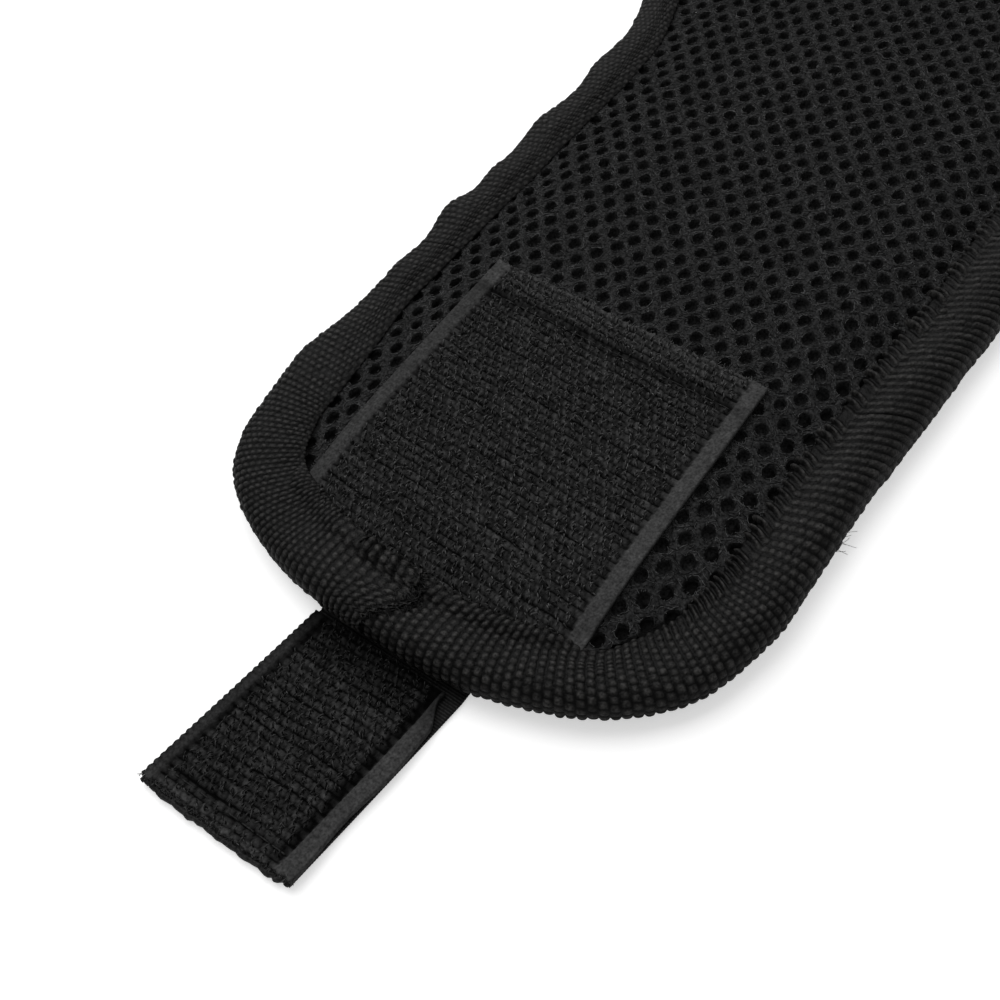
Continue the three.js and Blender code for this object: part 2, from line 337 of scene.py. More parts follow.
class Piece:
    """Gathers the points and faces of one piece of the object."""

    def __init__(self):
        self.points, self.quads, self.relief, self.count = [], [], [], 0

    def add(self, points, quads, relief=1.0):
        points = np.asarray(points, float).reshape(-1, 3)
        self.points.append(points)
        self.quads.append(np.asarray(quads).reshape(-1, 4) + self.count)
        self.relief.append(np.broadcast_to(np.asarray(relief, float).ravel(), (len(points),)))
        self.count += len(points)

    def add_slab(self, top, bottom, relief=1.0):
        """A closed sheet between two grids of points."""
        rows, columns = top.shape[:2]
        upper = grid_quads(rows, columns)
        lower = upper[:, ::-1] + rows * columns
        rim = np.concatenate([
            np.arange(columns),
            np.arange(1, rows) * columns + columns - 1,
            (rows - 1) * columns + np.arange(columns - 2, -1, -1),
            np.arange(rows - 2, 0, -1) * columns,
        ])
        after = np.roll(rim, -1)
        skirt = np.stack([rim, rim + rows * columns, after + rows * columns, after], 1)
        shade = np.broadcast_to(np.asarray(relief, float), (rows, columns)).ravel()
        both = np.concatenate([top.reshape(-1, 3), bottom.reshape(-1, 3)])
        self.add(both, np.concatenate([upper, lower, skirt])[:, ::-1], np.concatenate([shade, shade]))

    def add_tubes(self, paths, radius, up, sides=3, closed=False, relief=1.0):
        """Round threads along many paths at once, paths[thread, point], with a lightness for each thread and
        point that holds tone and painted shade.
        """
        ahead = np.roll(paths, -1, 1) - np.roll(paths, 1, 1)
        if not closed:
            ahead[:, 0] = paths[:, 1] - paths[:, 0]
            ahead[:, -1] = paths[:, -1] - paths[:, -2]
        side = unit(np.cross(ahead, up))
        over = unit(np.cross(side, ahead))
        turn = np.arange(sides) * 2 * math.pi / sides
        ring = np.cos(turn)[:, None] * side[:, :, None] + np.sin(turn)[:, None] * over[:, :, None]
        threads, steps = paths.shape[:2]
        points = paths[:, :, None] + np.broadcast_to(radius, (steps,))[:, None, None] * ring
        along = np.arange(steps if closed else steps - 1)
        here = along[:, None] * sides + np.arange(sides)[None, :]
        there = (along[:, None] + 1) % steps * sides + np.arange(sides)[None, :]
        quads = np.stack([there, np.roll(there, -1, 1), np.roll(here, -1, 1), here], -1).reshape(-1, 4)
        if not closed and sides == 4:
            quads = np.concatenate([quads, [[0, 1, 2, 3]], (steps - 1) * sides + np.array([[3, 2, 1, 0]])])
        start = np.arange(threads)[:, None, None] * steps * sides
        shade = np.broadcast_to(np.asarray(relief, float), (threads, steps))[:, :, None]
        self.add(points, quads[None] + start, np.broadcast_to(shade, (threads, steps, sides)))

    def make(self, name, material, slot):
        """The piece as an object with its resting places kept for the material."""
        points = np.concatenate(self.points).astype(np.float32)
        quads = np.concatenate(self.quads).astype(np.int32)
        mesh = bpy.data.meshes.new(name)
        mesh.vertices.add(len(points))
        mesh.vertices.foreach_set("co", points.ravel())
        mesh.loops.add(quads.size)
        mesh.loops.foreach_set("vertex_index", quads.ravel())
        mesh.polygons.add(len(quads))
        mesh.polygons.foreach_set("loop_start", np.arange(0, quads.size, 4, dtype=np.int32))
        mesh.update(calc_edges=True)
        # Each point's lightness for the colour ramp: tone, with painted shade in hollows, gaps and creases,
        # and painted shadows
        relief = mesh.attributes.new("relief", "FLOAT", "POINT")
        relief.data.foreach_set("value", np.concatenate(self.relief).astype(np.float32))
        rest = mesh.attributes.new("rest", "FLOAT_VECTOR", "POINT")
        rest.data.foreach_set("vector", points.ravel())
        mesh.materials.append(material)
        made = bpy.data.objects.new(name, mesh)
        bpy.context.scene.collection.objects.link(made)
        return made


def bend(piece):
    """Bakes the piece's transform into its mesh."""
    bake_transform(piece)


def bend_tab(piece):
    """Bakes the tab piece's transform into its mesh."""
    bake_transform(piece)


def nodes_for(k, name):
    """The frame's nodes that piece k stands for: one segment's, and the last two segments' for the last."""
    return [f"{name}_{k}"] + ([f"{name}_{k + 1}"] if k == PIECES else [])


# Materials

FLECK = 1.6
FLECK_SCALE = 2800
PATCHY = (0.4, 1.6)
PATCHY_SCALE = 900
HOLLOW = 0.15
ROUGH_SPREAD = 0.15
BUMP_DEPTH = 0.2 * MM


def link(tree, source, output, target, socket):
    tree.links.new(source.outputs[output], target.inputs[socket])


def grain(tree, scale, detail=4.0):
    """Noise that stays with the cloth when it bends."""
    place = tree.nodes.new("ShaderNodeAttribute")
    place.attribute_name = "rest"
    noise = tree.nodes.new("ShaderNodeTexNoise")
    noise.inputs["Scale"].default_value = scale
    noise.inputs["Detail"].default_value = detail
    link(tree, place, "Vector", noise, "Vector")
    return noise


def spread(tree, source, output, low, high):
    """A value from 0 to 1 spread between low and high."""
    node = tree.nodes.new("ShaderNodeMapRange")
    node.inputs["To Min"].default_value = low
    node.inputs["To Max"].default_value = high
    link(tree, source, output, node, "Value")
    return node


def coloured_with_painted_shade(tree, deep, face, flecks):
    """A textile's colour: painted shade from each point's lightness, darker in its hollows, and uneven in
    tone.
    """
    relief = tree.nodes.new("ShaderNodeAttribute")
    relief.attribute_name = "relief"
    ramp = tree.nodes.new("ShaderNodeValToRGB")
    ramp.color_ramp.elements[0].color = (*deep, 1)
    ramp.color_ramp.elements[0].position = HOLLOW
    ramp.color_ramp.elements[1].color = (*face, 1)
    link(tree, relief, "Fac", ramp, "Fac")
    tone = tree.nodes.new("ShaderNodeMix")
    tone.data_type = "RGBA"
    tone.blend_type = "MULTIPLY"
    tone.inputs["Factor"].default_value = 1
    link(tree, ramp, "Color", tone, "A")
    fleck = tree.nodes.new("ShaderNodeMath")
    fleck.operation = "MULTIPLY"
    link(tree, spread(tree, grain(tree, PATCHY_SCALE), "Fac", *PATCHY), "Result", fleck, 0)
    link(tree, spread(tree, grain(tree, FLECK_SCALE, 1.0), "Fac", 1 - flecks, 1 + flecks), "Result", fleck, 1)
    link(tree, fleck, "Value", tone, "B")
    return tone


def cloth(name, deep, face, roughness, gloss, fibre, bump, flecks=FLECK):
    """A textile with painted shade in its hollows, an uneven tone and a fibre grain."""
    material = bpy.data.materials.new(name)
    material.use_nodes = True
    tree = material.node_tree
    shader = tree.nodes["Principled BSDF"]
    link(tree, coloured_with_painted_shade(tree, deep, face, flecks), "Result", shader, "Base Color")
    fine = grain(tree, fibre, 2.0)
    rough = spread(tree, fine, "Fac", roughness - ROUGH_SPREAD, roughness + ROUGH_SPREAD)
    link(tree, rough, "Result", shader, "Roughness")
    dent = tree.nodes.new("ShaderNodeBump")
    dent.inputs["Strength"].default_value = bump
    dent.inputs["Distance"].default_value = BUMP_DEPTH
    link(tree, fine, "Fac", dent, "Height")
    link(tree, dent, "Normal", shader, "Normal")
    shader.inputs["Specular IOR Level"].default_value = gloss
    return material


def plating():
    """Bright nickel with faint scuffs."""
    material = bpy.data.materials.new("magnet_plating")
    material.use_nodes = True
    tree = material.node_tree
    shader = tree.nodes["Principled BSDF"]
    place = tree.nodes.new("ShaderNodeTexCoord")
    noise = tree.nodes.new("ShaderNodeTexNoise")
    noise.inputs["Scale"].default_value = 900
    link(tree, place, "Object", noise, "Vector")
    ramp = tree.nodes.new("ShaderNodeValToRGB")
    ramp.color_ramp.elements[0].color = (0.42, 0.41, 0.39, 1)
    ramp.color_ramp.elements[1].color = (0.62, 0.61, 0.58, 1)
    link(tree, noise, "Fac", ramp, "Fac")
    link(tree, ramp, "Color", shader, "Base Color")
    link(tree, spread(tree, noise, "Fac", 0.2, 0.42), "Result", shader, "Roughness")
    shader.inputs["Metallic"].default_value = 1
    return material


def grey(value, warmth=0.0):
    return (value * (1 + warmth), value, value * (1 - warmth))


AIR_MESH = cloth("air_mesh", grey(0.003), grey(0.033, -0.01), 0.85, 0.05, 4200, 0.5)
MESH_YARN = cloth("mesh_yarn", grey(0.003), grey(0.075, -0.01), 0.65, 0.1, 4200, 0.4)
FOAM = cloth("foam", grey(0.02), grey(0.045), 0.9, 0.1, 1500, 0.8)
SHELL_CLOTH = cloth("shell_cloth", grey(0.002), grey(0.014), 0.6, 0.15, 2600, 0.6)
BINDING = cloth("binding_tape", grey(0.0004), grey(0.027, 0.03), 0.5, 0.12, 3400, 0.6)
TAPE = cloth("hook_tape_cloth", grey(0.001), grey(0.048), 0.85, 0.06, 3800, 0.4, 0.9)
HOOKS = cloth("hook_nylon", grey(0.003), grey(0.065), 0.5, 0.2, 3800, 0.3)
LOOPS = cloth("loop_pile", grey(0.002), grey(0.022), 0.8, 0.08, 3600, 0.4)
WEBBING = cloth("webbing", grey(0.001), grey(0.035), 0.6, 0.12, 3200, 0.4)
THREAD = cloth("thread", grey(0.001), grey(0.022), 0.6, 0.1, 3000, 0.3)
FIBRE = cloth("loose_fibre", grey(0.01), grey(0.05), 0.6, 0.1, 3000, 0.2)


# The padded lining

def lining_height(x, y):
    """The lining's upper face: level in the middle, drawn down to the edge tape, with soft swells."""
    inside = inset(x, y) - tape_reach(x, y)
    level = LINING_TOP - LINING_EDGE_DROP * (1 - smooth(inside / LINING_SLOPE))
    swell = np.sin(x / SWELL_LENGTH + 0.7) * np.sin(y / SWELL_WIDTH + x / SWELL_DRIFT)
    swell = swell + RIPPLE * np.sin(x / RIPPLE_LENGTH - 1)
    beside = np.abs(y - (PATCH_LOW.y + PATCH_HIGH.y) / 2) - (PATCH_HIGH.y - PATCH_LOW.y) / 2
    clear = smooth(np.maximum(x - PATCH_HIGH.x, beside) / LEVEL_BESIDE_PATCH)
    clear = clear * smooth(inside / LEVEL_BESIDE_TAPE)
    return level + LINING_SWELL * (swell - RIPPLE) * clear - LINING_SINK


def turned(points):
    """Flat places turned as the mesh is turned on the band."""
    c, s = math.cos(HOLE_TURN), math.sin(HOLE_TURN)
    return points @ np.array(((c, s), (-s, c)))


def hole_centres():
    """Middles of all the lining's holes that lie inside the edge tape."""
    reach = int(BAND_LENGTH / HOLE_PITCH[1])
    step = np.stack(np.meshgrid(np.arange(-reach, reach), np.arange(-reach, reach)), -1).reshape(-1, 2)
    places = turned(np.concatenate([step, step + 0.5]) * HOLE_PITCH) + HOLE_ORIGIN
    x, y = places.T
    return places[inset(x, y) > tape_reach(x, y) - LINING_TUCK]


def cell_border(count):
    """Points round the six-sided cell of one hole."""
    px, py = HOLE_PITCH
    tip, flat = (px ** 2 + py ** 2) / (4 * px), (px ** 2 - py ** 2) / (4 * px)
    corners = np.array((
        (tip, 0), (flat, py / 2), (-flat, py / 2), (-tip, 0), (-flat, -py / 2), (flat, -py / 2),
    ))
    length = np.concatenate([[0], np.cumsum(np.linalg.norm(np.roll(corners, -1, 0) - corners, axis=1))])
    around = np.concatenate([corners, corners[:1]])
    at = np.arange(count) * length[-1] / count
    return np.stack([np.interp(at, length, around[:, i]) for i in (0, 1)], 1)


def hole_rim(border):
    """Points of the oval hole, each towards one point of its cell's border."""
    angle = np.arctan2(border[:, 1] / HOLE_RADII[1], border[:, 0] / HOLE_RADII[0])
    return np.stack([np.cos(angle), np.sin(angle)], 1) * HOLE_RADII


def on_lining(places, lift):
    return np.dstack([places, lining_height(places[..., 0], places[..., 1]) + lift])


def beside_tape(places):
    """Painted shade in the crease where the lining meets the edge tape: 0 there, 1 a little way inside."""
    x, y = places[..., 0], places[..., 1]
    return smooth((inset(x, y) - tape_reach(x, y) + 0.2 * MM) / (0.8 * MM))


def cup_faces(rings):
    """Faces between the rings of one hole's cup, and its floor."""
    side = np.arange(HOLE_SIDES)
    after = np.roll(side, -1)
    last = rings - 2
    wall = np.stack([side, after, HOLE_SIDES + after, HOLE_SIDES + side], 1)
    pair = np.arange(0, HOLE_SIDES, 2)
    floor = np.stack([0 * pair + HOLE_SIDES, pair, pair + 1, (pair + 2) % HOLE_SIDES], 1)
    return np.concatenate([wall + r * HOLE_SIDES for r in range(last)] + [floor + last * HOLE_SIDES])


def lining_face(centres, middle, size):
    """The knitted face round the holes and the cups that they open into."""
    border = cell_border(HOLE_SIDES)
    edge = centres[:, None] + turned(border)
    rim = turned(hole_rim(border)) * size
    centre = middle[:, None]
    rings = [(edge, -0.05, 0.62), ((centre + rim) * 0.5 + edge * 0.5, 0.0, 0.68)]
    rings += [(centre + rim * share, lift, shade) for share, lift, shade in CUP_RINGS]
    # The cup's floor is painted lighter: painted light against the cup's shade
    rings.append((centre, -HOLE_DEPTH / MM, 0.8))
    stack = np.concatenate([on_lining(ring, lift * MM) for ring, lift, _ in rings], 1)
    stack[..., 2] = np.maximum(stack[..., 2], HOLE_FLOOR)
    # Painted shade beside the edge tape
    relief = np.concatenate([shade * beside_tape(ring) for ring, _, shade in rings], 1)
    # Shallow holes get painted shade on their floors
    depth = lining_height(stack[..., 0], stack[..., 1]) - stack[..., 2]
    shallow = (depth < HOLE_DEPTH * SHALLOW_SHARE) & (stack[..., 2] == HOLE_FLOOR)
    relief = np.where(shallow, SHALLOW_SHADE * relief, relief)
    start = np.arange(len(centres))[:, None, None] * stack.shape[1]
    piece = Piece()
    piece.add(stack, cup_faces(len(rings))[None] + start, relief)
    return piece


def under_patch(places, margin):
    """Whether flat places lie under the hook patch, margin inside its edges."""
    x, y = places[..., 0], places[..., 1]
    return (x < PATCH_HIGH.x - margin) & (y > PATCH_LOW.y + margin) & (y < PATCH_HIGH.y - margin)


def between(angle, share):
    """Flat places round a hole at given angles, from its rim at share 0 out to its cell's border at 1."""
    border = cell_border(360)
    turn = np.arctan2(border[:, 1], border[:, 0])
    order = np.argsort(turn)
    reach = np.interp(angle, turn[order], np.linalg.norm(border, axis=1)[order], period=2 * math.pi)
    way = np.stack([np.cos(angle), np.sin(angle)], -1)
    rim = 1 / np.linalg.norm(way / HOLE_RADII, axis=-1)
    return turned(way * (rim + (reach - rim) * share)[..., None])


def lining_yarn(centres, draw):
    """Fine short threads that cross on the face between the holes and fray over their rims."""
    piece = Piece()
    shape = (len(centres), YARN_COUNT, 1)
    along = np.linspace(-0.5, 0.5, YARN_STEPS)
    angle = draw.uniform(-math.pi, math.pi, shape) + draw.normal(0, YARN_TURN, shape) * along
    share = draw.uniform(YARN_INNER, 1, shape) + draw.normal(0, YARN_STRAY, shape) * along
    way = between(angle, np.clip(share, YARN_INNER, 1))
    places = (centres[:, None, None] + way).reshape(-1, YARN_STEPS, 2)
    path = on_lining(places, YARN_RADIUS * 0.7)
    path[..., 2] += draw.normal(0, YARN_LIFT, (len(path), 1))
    # Threads vary in tone at random and get painted shade beside the edge tape
    shade = draw.uniform(0.15, 1, (len(path), 1)) * beside_tape(places)
    piece.add_tubes(path, YARN_RADIUS, (0, 0, 1), 3, False, shade)
    return piece


def lining():
    draw = np.random.default_rng(LINING_SEED)
    every = hole_centres()
    for k in range(1, PIECES + 1):
        centres = every[piece_of(every[:, 0]) == k]
        middle = centres + draw.normal(0, HOLE_JITTER, centres.shape)
        size = 1 + draw.normal(0, HOLE_VARIES, (len(centres), 1, 1))
        face = lining_face(centres, middle, size).make(f"air_mesh_{k}", AIR_MESH, "air_mesh")
        bend(face)
        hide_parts(*nodes_for(k, "mesh_lining"))
        seen = ~under_patch(centres, 4 * MM)
        yarn = lining_yarn(middle[seen], draw)
        bend(yarn.make(f"mesh_yarn_{k}", MESH_YARN, "air_mesh"))


# The edge tape

SIDES = (
    (BAND_LENGTH - NEAR_RIGHT_CORNER - CORNER, CORNER),
    (2 * HALF_WIDTH - 2 * CORNER, CORNER),
    (BAND_LENGTH - CORNER - NEAR_LEFT_CORNER, NEAR_LEFT_CORNER),
    (2 * HALF_WIDTH - NEAR_LEFT_CORNER - NEAR_RIGHT_CORNER, NEAR_RIGHT_CORNER),
)
OUTLINE = sum(run + radius * math.pi / 2 for run, radius in SIDES)


def edge_path(s):
    """Points of the outline at lengths s along it from the near right corner, and the heading there."""
    s = np.mod(s, OUTLINE)
    x, y, heading = np.zeros_like(s), np.zeros_like(s), np.zeros_like(s)
    at, facing, begin = np.array((START_X + NEAR_RIGHT_CORNER, -HALF_WIDTH)), 0.0, 0.0
    for run, radius in SIDES:
        ahead = np.array((math.cos(facing), math.sin(facing)))
        here = (s >= begin) & (s < begin + run)
        x[here] = at[0] + (s[here] - begin) * ahead[0]
        y[here] = at[1] + (s[here] - begin) * ahead[1]
        heading[here] = facing
        begin += run
        centre = at + run * ahead + radius * np.array((-ahead[1], ahead[0]))
        here = (s >= begin) & (s < begin + radius * math.pi / 2)
        turn = facing + (s[here] - begin) / radius
        x[here] = centre[0] + radius * np.sin(turn)
        y[here] = centre[1] - radius * np.cos(turn)
        heading[here] = turn
        begin += radius * math.pi / 2
        facing += math.pi / 2
        at = centre + radius * np.array((math.sin(facing), -math.cos(facing)))
    return x, y, heading


def rounded(points, passes=3):
    """A line with its corners cut until it is smooth."""
    for _ in range(passes):
        near = points[:-1] * 0.75 + points[1:] * 0.25
        far = points[:-1] * 0.25 + points[1:] * 0.75
        points = np.concatenate([points[:1], np.stack([near, far], 1).reshape(-1, 2), points[-1:]])
    return points


def even(points, count):
    """count + 1 points at even steps along a line, and the line's length."""
    length = np.concatenate([[0], np.cumsum(np.linalg.norm(np.diff(points, axis=0), axis=1))])
    at = np.linspace(0, length[-1], count + 1)
    return np.stack([np.interp(at, length, points[:, i]) for i in (0, 1)], 1), length[-1]


def rib_stations():
    """Lengths along the outline of the points that shape each rib; the ribs are closer on the left side."""
    s = np.linspace(0, OUTLINE, 4001)
    pitch = RIB_PITCH + (LEFT_PITCH - RIB_PITCH) * left_share(edge_path(s)[1])
    count = np.concatenate([[0], np.cumsum(np.diff(s) / pitch[1:])])
    ribs = 2 * round(count[-1] / 2)
    return np.interp(np.arange(ribs * CELL_STEPS) / CELL_STEPS, count * ribs / count[-1], s)


PLAIN_PROFILE, TAPE_SPAN = even(rounded(np.array(TAPE_PLAIN + TAPE_ROUND)) * MM, TAPE_COLUMNS)
LIPPED_PROFILE, _ = even(rounded(np.array(TAPE_LIPPED + TAPE_ROUND)) * MM, TAPE_COLUMNS)
ACROSS = np.linspace(0, TAPE_SPAN, TAPE_COLUMNS + 1)
STATION_S = rib_stations()
STATIONS = len(STATION_S)
RIBS = STATIONS // CELL_STEPS


def plump(share, power=3):
    """A cell's height across it: level in its middle and steep at its sides."""
    return 1 - np.abs(2 * share - 1) ** power


def pucker(x):
    """How far the left edge's puckers stand out at x."""
    return sum(out * np.exp(-((x - at) / reach) ** 2) for at, reach, out in PUCKERS)


def over_patch(x, y):
    """1 where the tape's lip lies on the hook patch."""
    across = smooth((y - PATCH_LOW.y + 1 * MM) / (2 * MM)) * smooth((PATCH_HIGH.y + 1 * MM - y) / (2 * MM))
    return across * smooth((START_X + 25 * MM - x) / (4 * MM))


class Tape:
    """The edge tape as a closed run of stations, each a line of points across it."""

    def __init__(self, draw):
        self.s = STATION_S
        self.x, self.y, heading = edge_path(self.s)
        breaks = np.clip(humps(LIP_BREAKS, self.x, self.y), 0, 1)
        self.lipped = ((1 - left_share(self.y)) * (1 - breaks))[:, None]
        self.profile = PLAIN_PROFILE + self.lipped[..., None] * (LIPPED_PROFILE - PLAIN_PROFILE)
        inner = self.x - np.sin(heading) * TAPE_REACH, self.y + np.cos(heading) * TAPE_REACH
        part = smooth((self.profile[..., 0] - 4 * MM) / (5 * MM)) * (self.profile[..., 1] > 3 * MM)
        self.profile[..., 0] += part * (tape_reach(*inner) - TAPE_REACH)[:, None]
        self.left = smooth((self.y - HALF_WIDTH + 3 * MM) / (3 * MM))[:, None]
        self.base = self.lay()
        along = np.roll(self.base, -1, 0) - np.roll(self.base, 1, 0)
        self.out = unit(np.cross(np.gradient(self.base, axis=1), along))
        self.weave(draw)
        self.ragged = draw.normal(0, JOIN_RAGGED, len(ACROSS))

    def lean(self):
        """How far along the edge each point of a rib is carried from the rib's foot at the seam."""
        reach = 30 * MM
        straight = smooth((self.x - START_X - reach) / reach) * smooth((END_X - reach - self.x) / reach)
        lean = LEAN * (straight * (1 - 0.6 * left_share(self.y)))[:, None]
        outward = np.clip(ACROSS - LIP_LENGTH, 0, LEAN_REACH)
        inward = np.clip(LIP_LENGTH - ACROSS, 0, LIP_LENGTH)
        return lean * outward + (LIP_LEAN * self.lipped - lean * (1 - self.lipped)) * inward

    def lay(self):
        """The tape's middle surface, without its weave."""
        wave = sum(
            size * MM * np.sin(2 * math.pi * n * self.s / OUTLINE + phase)
            for n, size, phase in TAPE_WAVES
        )[:, None]
        into, up = self.profile[..., 0], self.profile[..., 1]
        nearness = smooth(1 - into / SEAM_INSET)
        fold = self.left * pucker(self.x)[:, None]
        x, y, heading = edge_path(self.s[:, None] + self.lean())
        into = into + 0.6 * wave - nearness * fold - humps(SWAYS, x, y)
        x, y = x - np.sin(heading) * into, y + np.cos(heading) * into
        upper = smooth((up - 1.5 * MM) / (3 * MM))
        lip = smooth((self.profile[..., 0] - SEAM_INSET) / (2 * MM))
        along = self.s[:, None] + WRINKLE_SLANT * ACROSS
        crease = sum(size * np.sin(2 * math.pi * along / length) for length, size in WRINKLES)
        crease = crease * self.left * smooth(nearness * 3)
        sway = 0.7 * wave * (1 - self.left * (1 - nearness))
        rise = sway + 0.35 * nearness * fold + crease + 0.7 * MM * lip * over_patch(x, y)
        return np.stack([x, y, TAPE_BOTTOM + up + upper * rise], -1)

    def weave(self, draw):
        """How far each point stands out from the middle surface and how light it is, with painted shade and
        painted highlights.
        """
        step = np.arange(STATIONS)
        rib_index = step // CELL_STEPS
        turn = (step % CELL_STEPS / CELL_STEPS)[:, None]
        rib, thin = plump(turn), np.clip(1 - 1.3 * np.abs(2 * turn - 1), 0, 1)
        left = left_share(self.y)[:, None]
        right = smooth((-self.y - 25 * MM) / (10 * MM)) * smooth((self.x - START_X - 30 * MM) / (30 * MM))
        right = right[:, None]
        cut = 1 - RIGHT_RIBBED * right
        cells = TAPE_CELLS + (LEFT_CELLS - TAPE_CELLS) * left
        place = ACROSS / TAPE_SPAN * cells + 0.5 * (rib_index % 2)[:, None]
        cell = 1 - CELL_CUT * cut * (1 - plump(place % 1))
        vary = draw.normal(1, 0.18, (RIBS, LEFT_CELLS + 2))[rib_index[:, None], place.astype(int)]
        tip = draw.normal(1, 0.4, (RIBS, 1))[rib_index]
        gather = humps(GATHERS, self.x, self.y)[:, None] * draw.normal(0.3, 1, (RIBS, 1))[rib_index]
        gather = gather * smooth((5 * MM - ACROSS) / (2 * MM)) * smooth((ACROSS - 1 * MM) / (0.5 * MM))
        comb = self.lipped * smooth((self.x - START_X - 8 * MM) / (10 * MM))[:, None]
        lip = smooth((LIP_LENGTH - ACROSS) / (0.6 * MM)) * comb
        bow = plump(np.clip(ACROSS / LIP_LENGTH, 0, 1))
        flat = 1 - 0.8 * smooth((2.4 * MM - ACROSS) / (1 * MM)) * (1 - self.lipped)
        woven = (CELL_RELIEF * (1 - LEFT_FLAT * left) * cell * vary * flat + gather) * rib
        self.height = woven * (1 - lip) + LIP_RELIEF * thin * tip * (0.5 + 0.5 * bow) * lip
        # Darker along the band's right and left sides
        darkened = 1 - RIGHT_DIM * right - LEFT_DIM * left
        # Light cell tops with painted shade in the gaps between ribs and cells
        top = plump(turn, 1.7) * (1 - 0.95 * cut * (1 - plump(place % 1, 1.7))) * darkened
        # Painted shade on the underside and inner wall of the plain edge
        edge = 1 - smooth((1.2 * MM - ACROSS) / (0.3 * MM)) * (1 - self.lipped)
        # Painted shade in a gap across the middle of each lip tooth
        notch = 1 - 0.7 * np.exp(-((ACROSS - LIP_NOTCH) / (0.3 * MM)) ** 2)
        # Lip teeth are painted lighter at their ends: painted highlight
        self.shade = WOVEN_TONE * top * vary * edge * (1 - lip) + thin * tip * notch * (1.5 - 0.6 * bow) * lip

    def points(self):
        return self.base + self.out * self.height[..., None]

    def join(self):
        """The tape near its join: its two ends as separate surfaces with their shades."""
        x, y = self.base[..., 0], self.base[..., 1]
        end = (x < START_X + 20 * MM) & (np.abs(self.y)[:, None] < 15 * MM)
        cut = np.interp(self.profile[..., 0], JOIN_LINE[:, 0], JOIN_LINE[:, 1]) + self.ragged
        upper = smooth((self.profile[..., 1] - 1.5 * MM) / (2 * MM))
        beside = (y - JOIN_PINCH[0]) / PINCH_REACH[0]
        inward = (self.profile[..., 0] - JOIN_PINCH[1]) / PINCH_REACH[1]
        pinch = JOIN_PINCH[2] * np.exp(-(beside ** 2 + inward ** 2)) * upper * end
        lap = np.clip((JOIN_START_Y - self.y) / (JOIN_START_Y - JOIN_END_Y), 0, 1)[:, None] * end
        over = self.points() + self.out * (JOIN_RISE * lap ** 2 * upper - 0.6 * pinch)[..., None]
        over[..., 1] += np.where(lap > 0, JOIN_START_Y - lap * (JOIN_START_Y - cut) - y, 0) * end
        depth = smooth((y - cut + 1.5 * MM) / (3 * MM)) * end
        under = self.points() - self.out * (JOIN_SINK * depth + pinch)[..., None]
        # Painted shadow of the lapped end on the end beneath it
        dark = smooth((y - cut + 1.2 * MM) / (1.5 * MM)) * end * upper
        return over, self.shade, under, self.shade * (1 - JOIN_DARK * dark)


def tape_piece(name, points, shade, replaced):
    piece = Piece()
    piece.add(points, grid_quads(*points.shape[:2]), shade)
    made = piece.make(name, BINDING, "binding_tape")
    bend(made)
    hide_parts(*replaced)


def tape_rows(tape, k, side):
    """The stations of one side's run of tape in piece k, cut between ribs."""
    x, y = (np.repeat(line[::CELL_STEPS], CELL_STEPS) for line in (tape.x, tape.y))
    low, high = (JOIN_END_Y, JOIN_UNDER_Y) if k == 1 else (0, 0)
    there = (piece_of(x) == k) & (y > low if side == "left" else y < high)
    first = int(np.argmax(there & ~np.roll(there, 1)))
    return np.arange(first, first + np.count_nonzero(there) + 1) % STATIONS


def edge_seam(tape, points):
    """The stitches that hold the tape, in the groove of its lower face."""
    starts = np.arange(0, STATIONS - STITCH_STATIONS, STITCH_STATIONS + STITCH_GAP)
    rows = starts[:, None] + np.arange(STITCH_STATIONS + 1)
    half = len(ACROSS) // 2
    lower = half + int(np.argmin(np.abs(LIPPED_PROFILE[half:, 0] - SEAM_INSET)))
    dip = np.sin(np.linspace(0, math.pi, STITCH_STATIONS + 1)) * 0.25 * MM
    index = piece_of(tape.x[rows[:, STITCH_STATIONS // 2]])
    for k in range(1, PIECES + 1):
        piece = Piece()
        path = points[rows[index == k], lower] - np.stack([0 * dip, 0 * dip, dip], 1)
        piece.add_tubes(path, STITCH_RADIUS, (0, 0, 1), 4, False, 1.0)
        bend(piece.make(f"edge_seam_{k}", THREAD, "binding_tape"))


def hairs(starts, way, lengths, curl, draw):
    """Fine curling fibres from their starting points, all roughly the same way."""
    steps = np.linspace(0, 1, HAIR_STEPS)
    heading = unit(np.asarray(way) + draw.normal(0, curl, starts.shape))
    bow = draw.normal(0, HAIR_BOW, starts.shape)
    path = heading[:, None] * steps[:, None] + bow[:, None] * (steps ** 2)[:, None]
    return starts[:, None] + lengths[:, None, None] * path


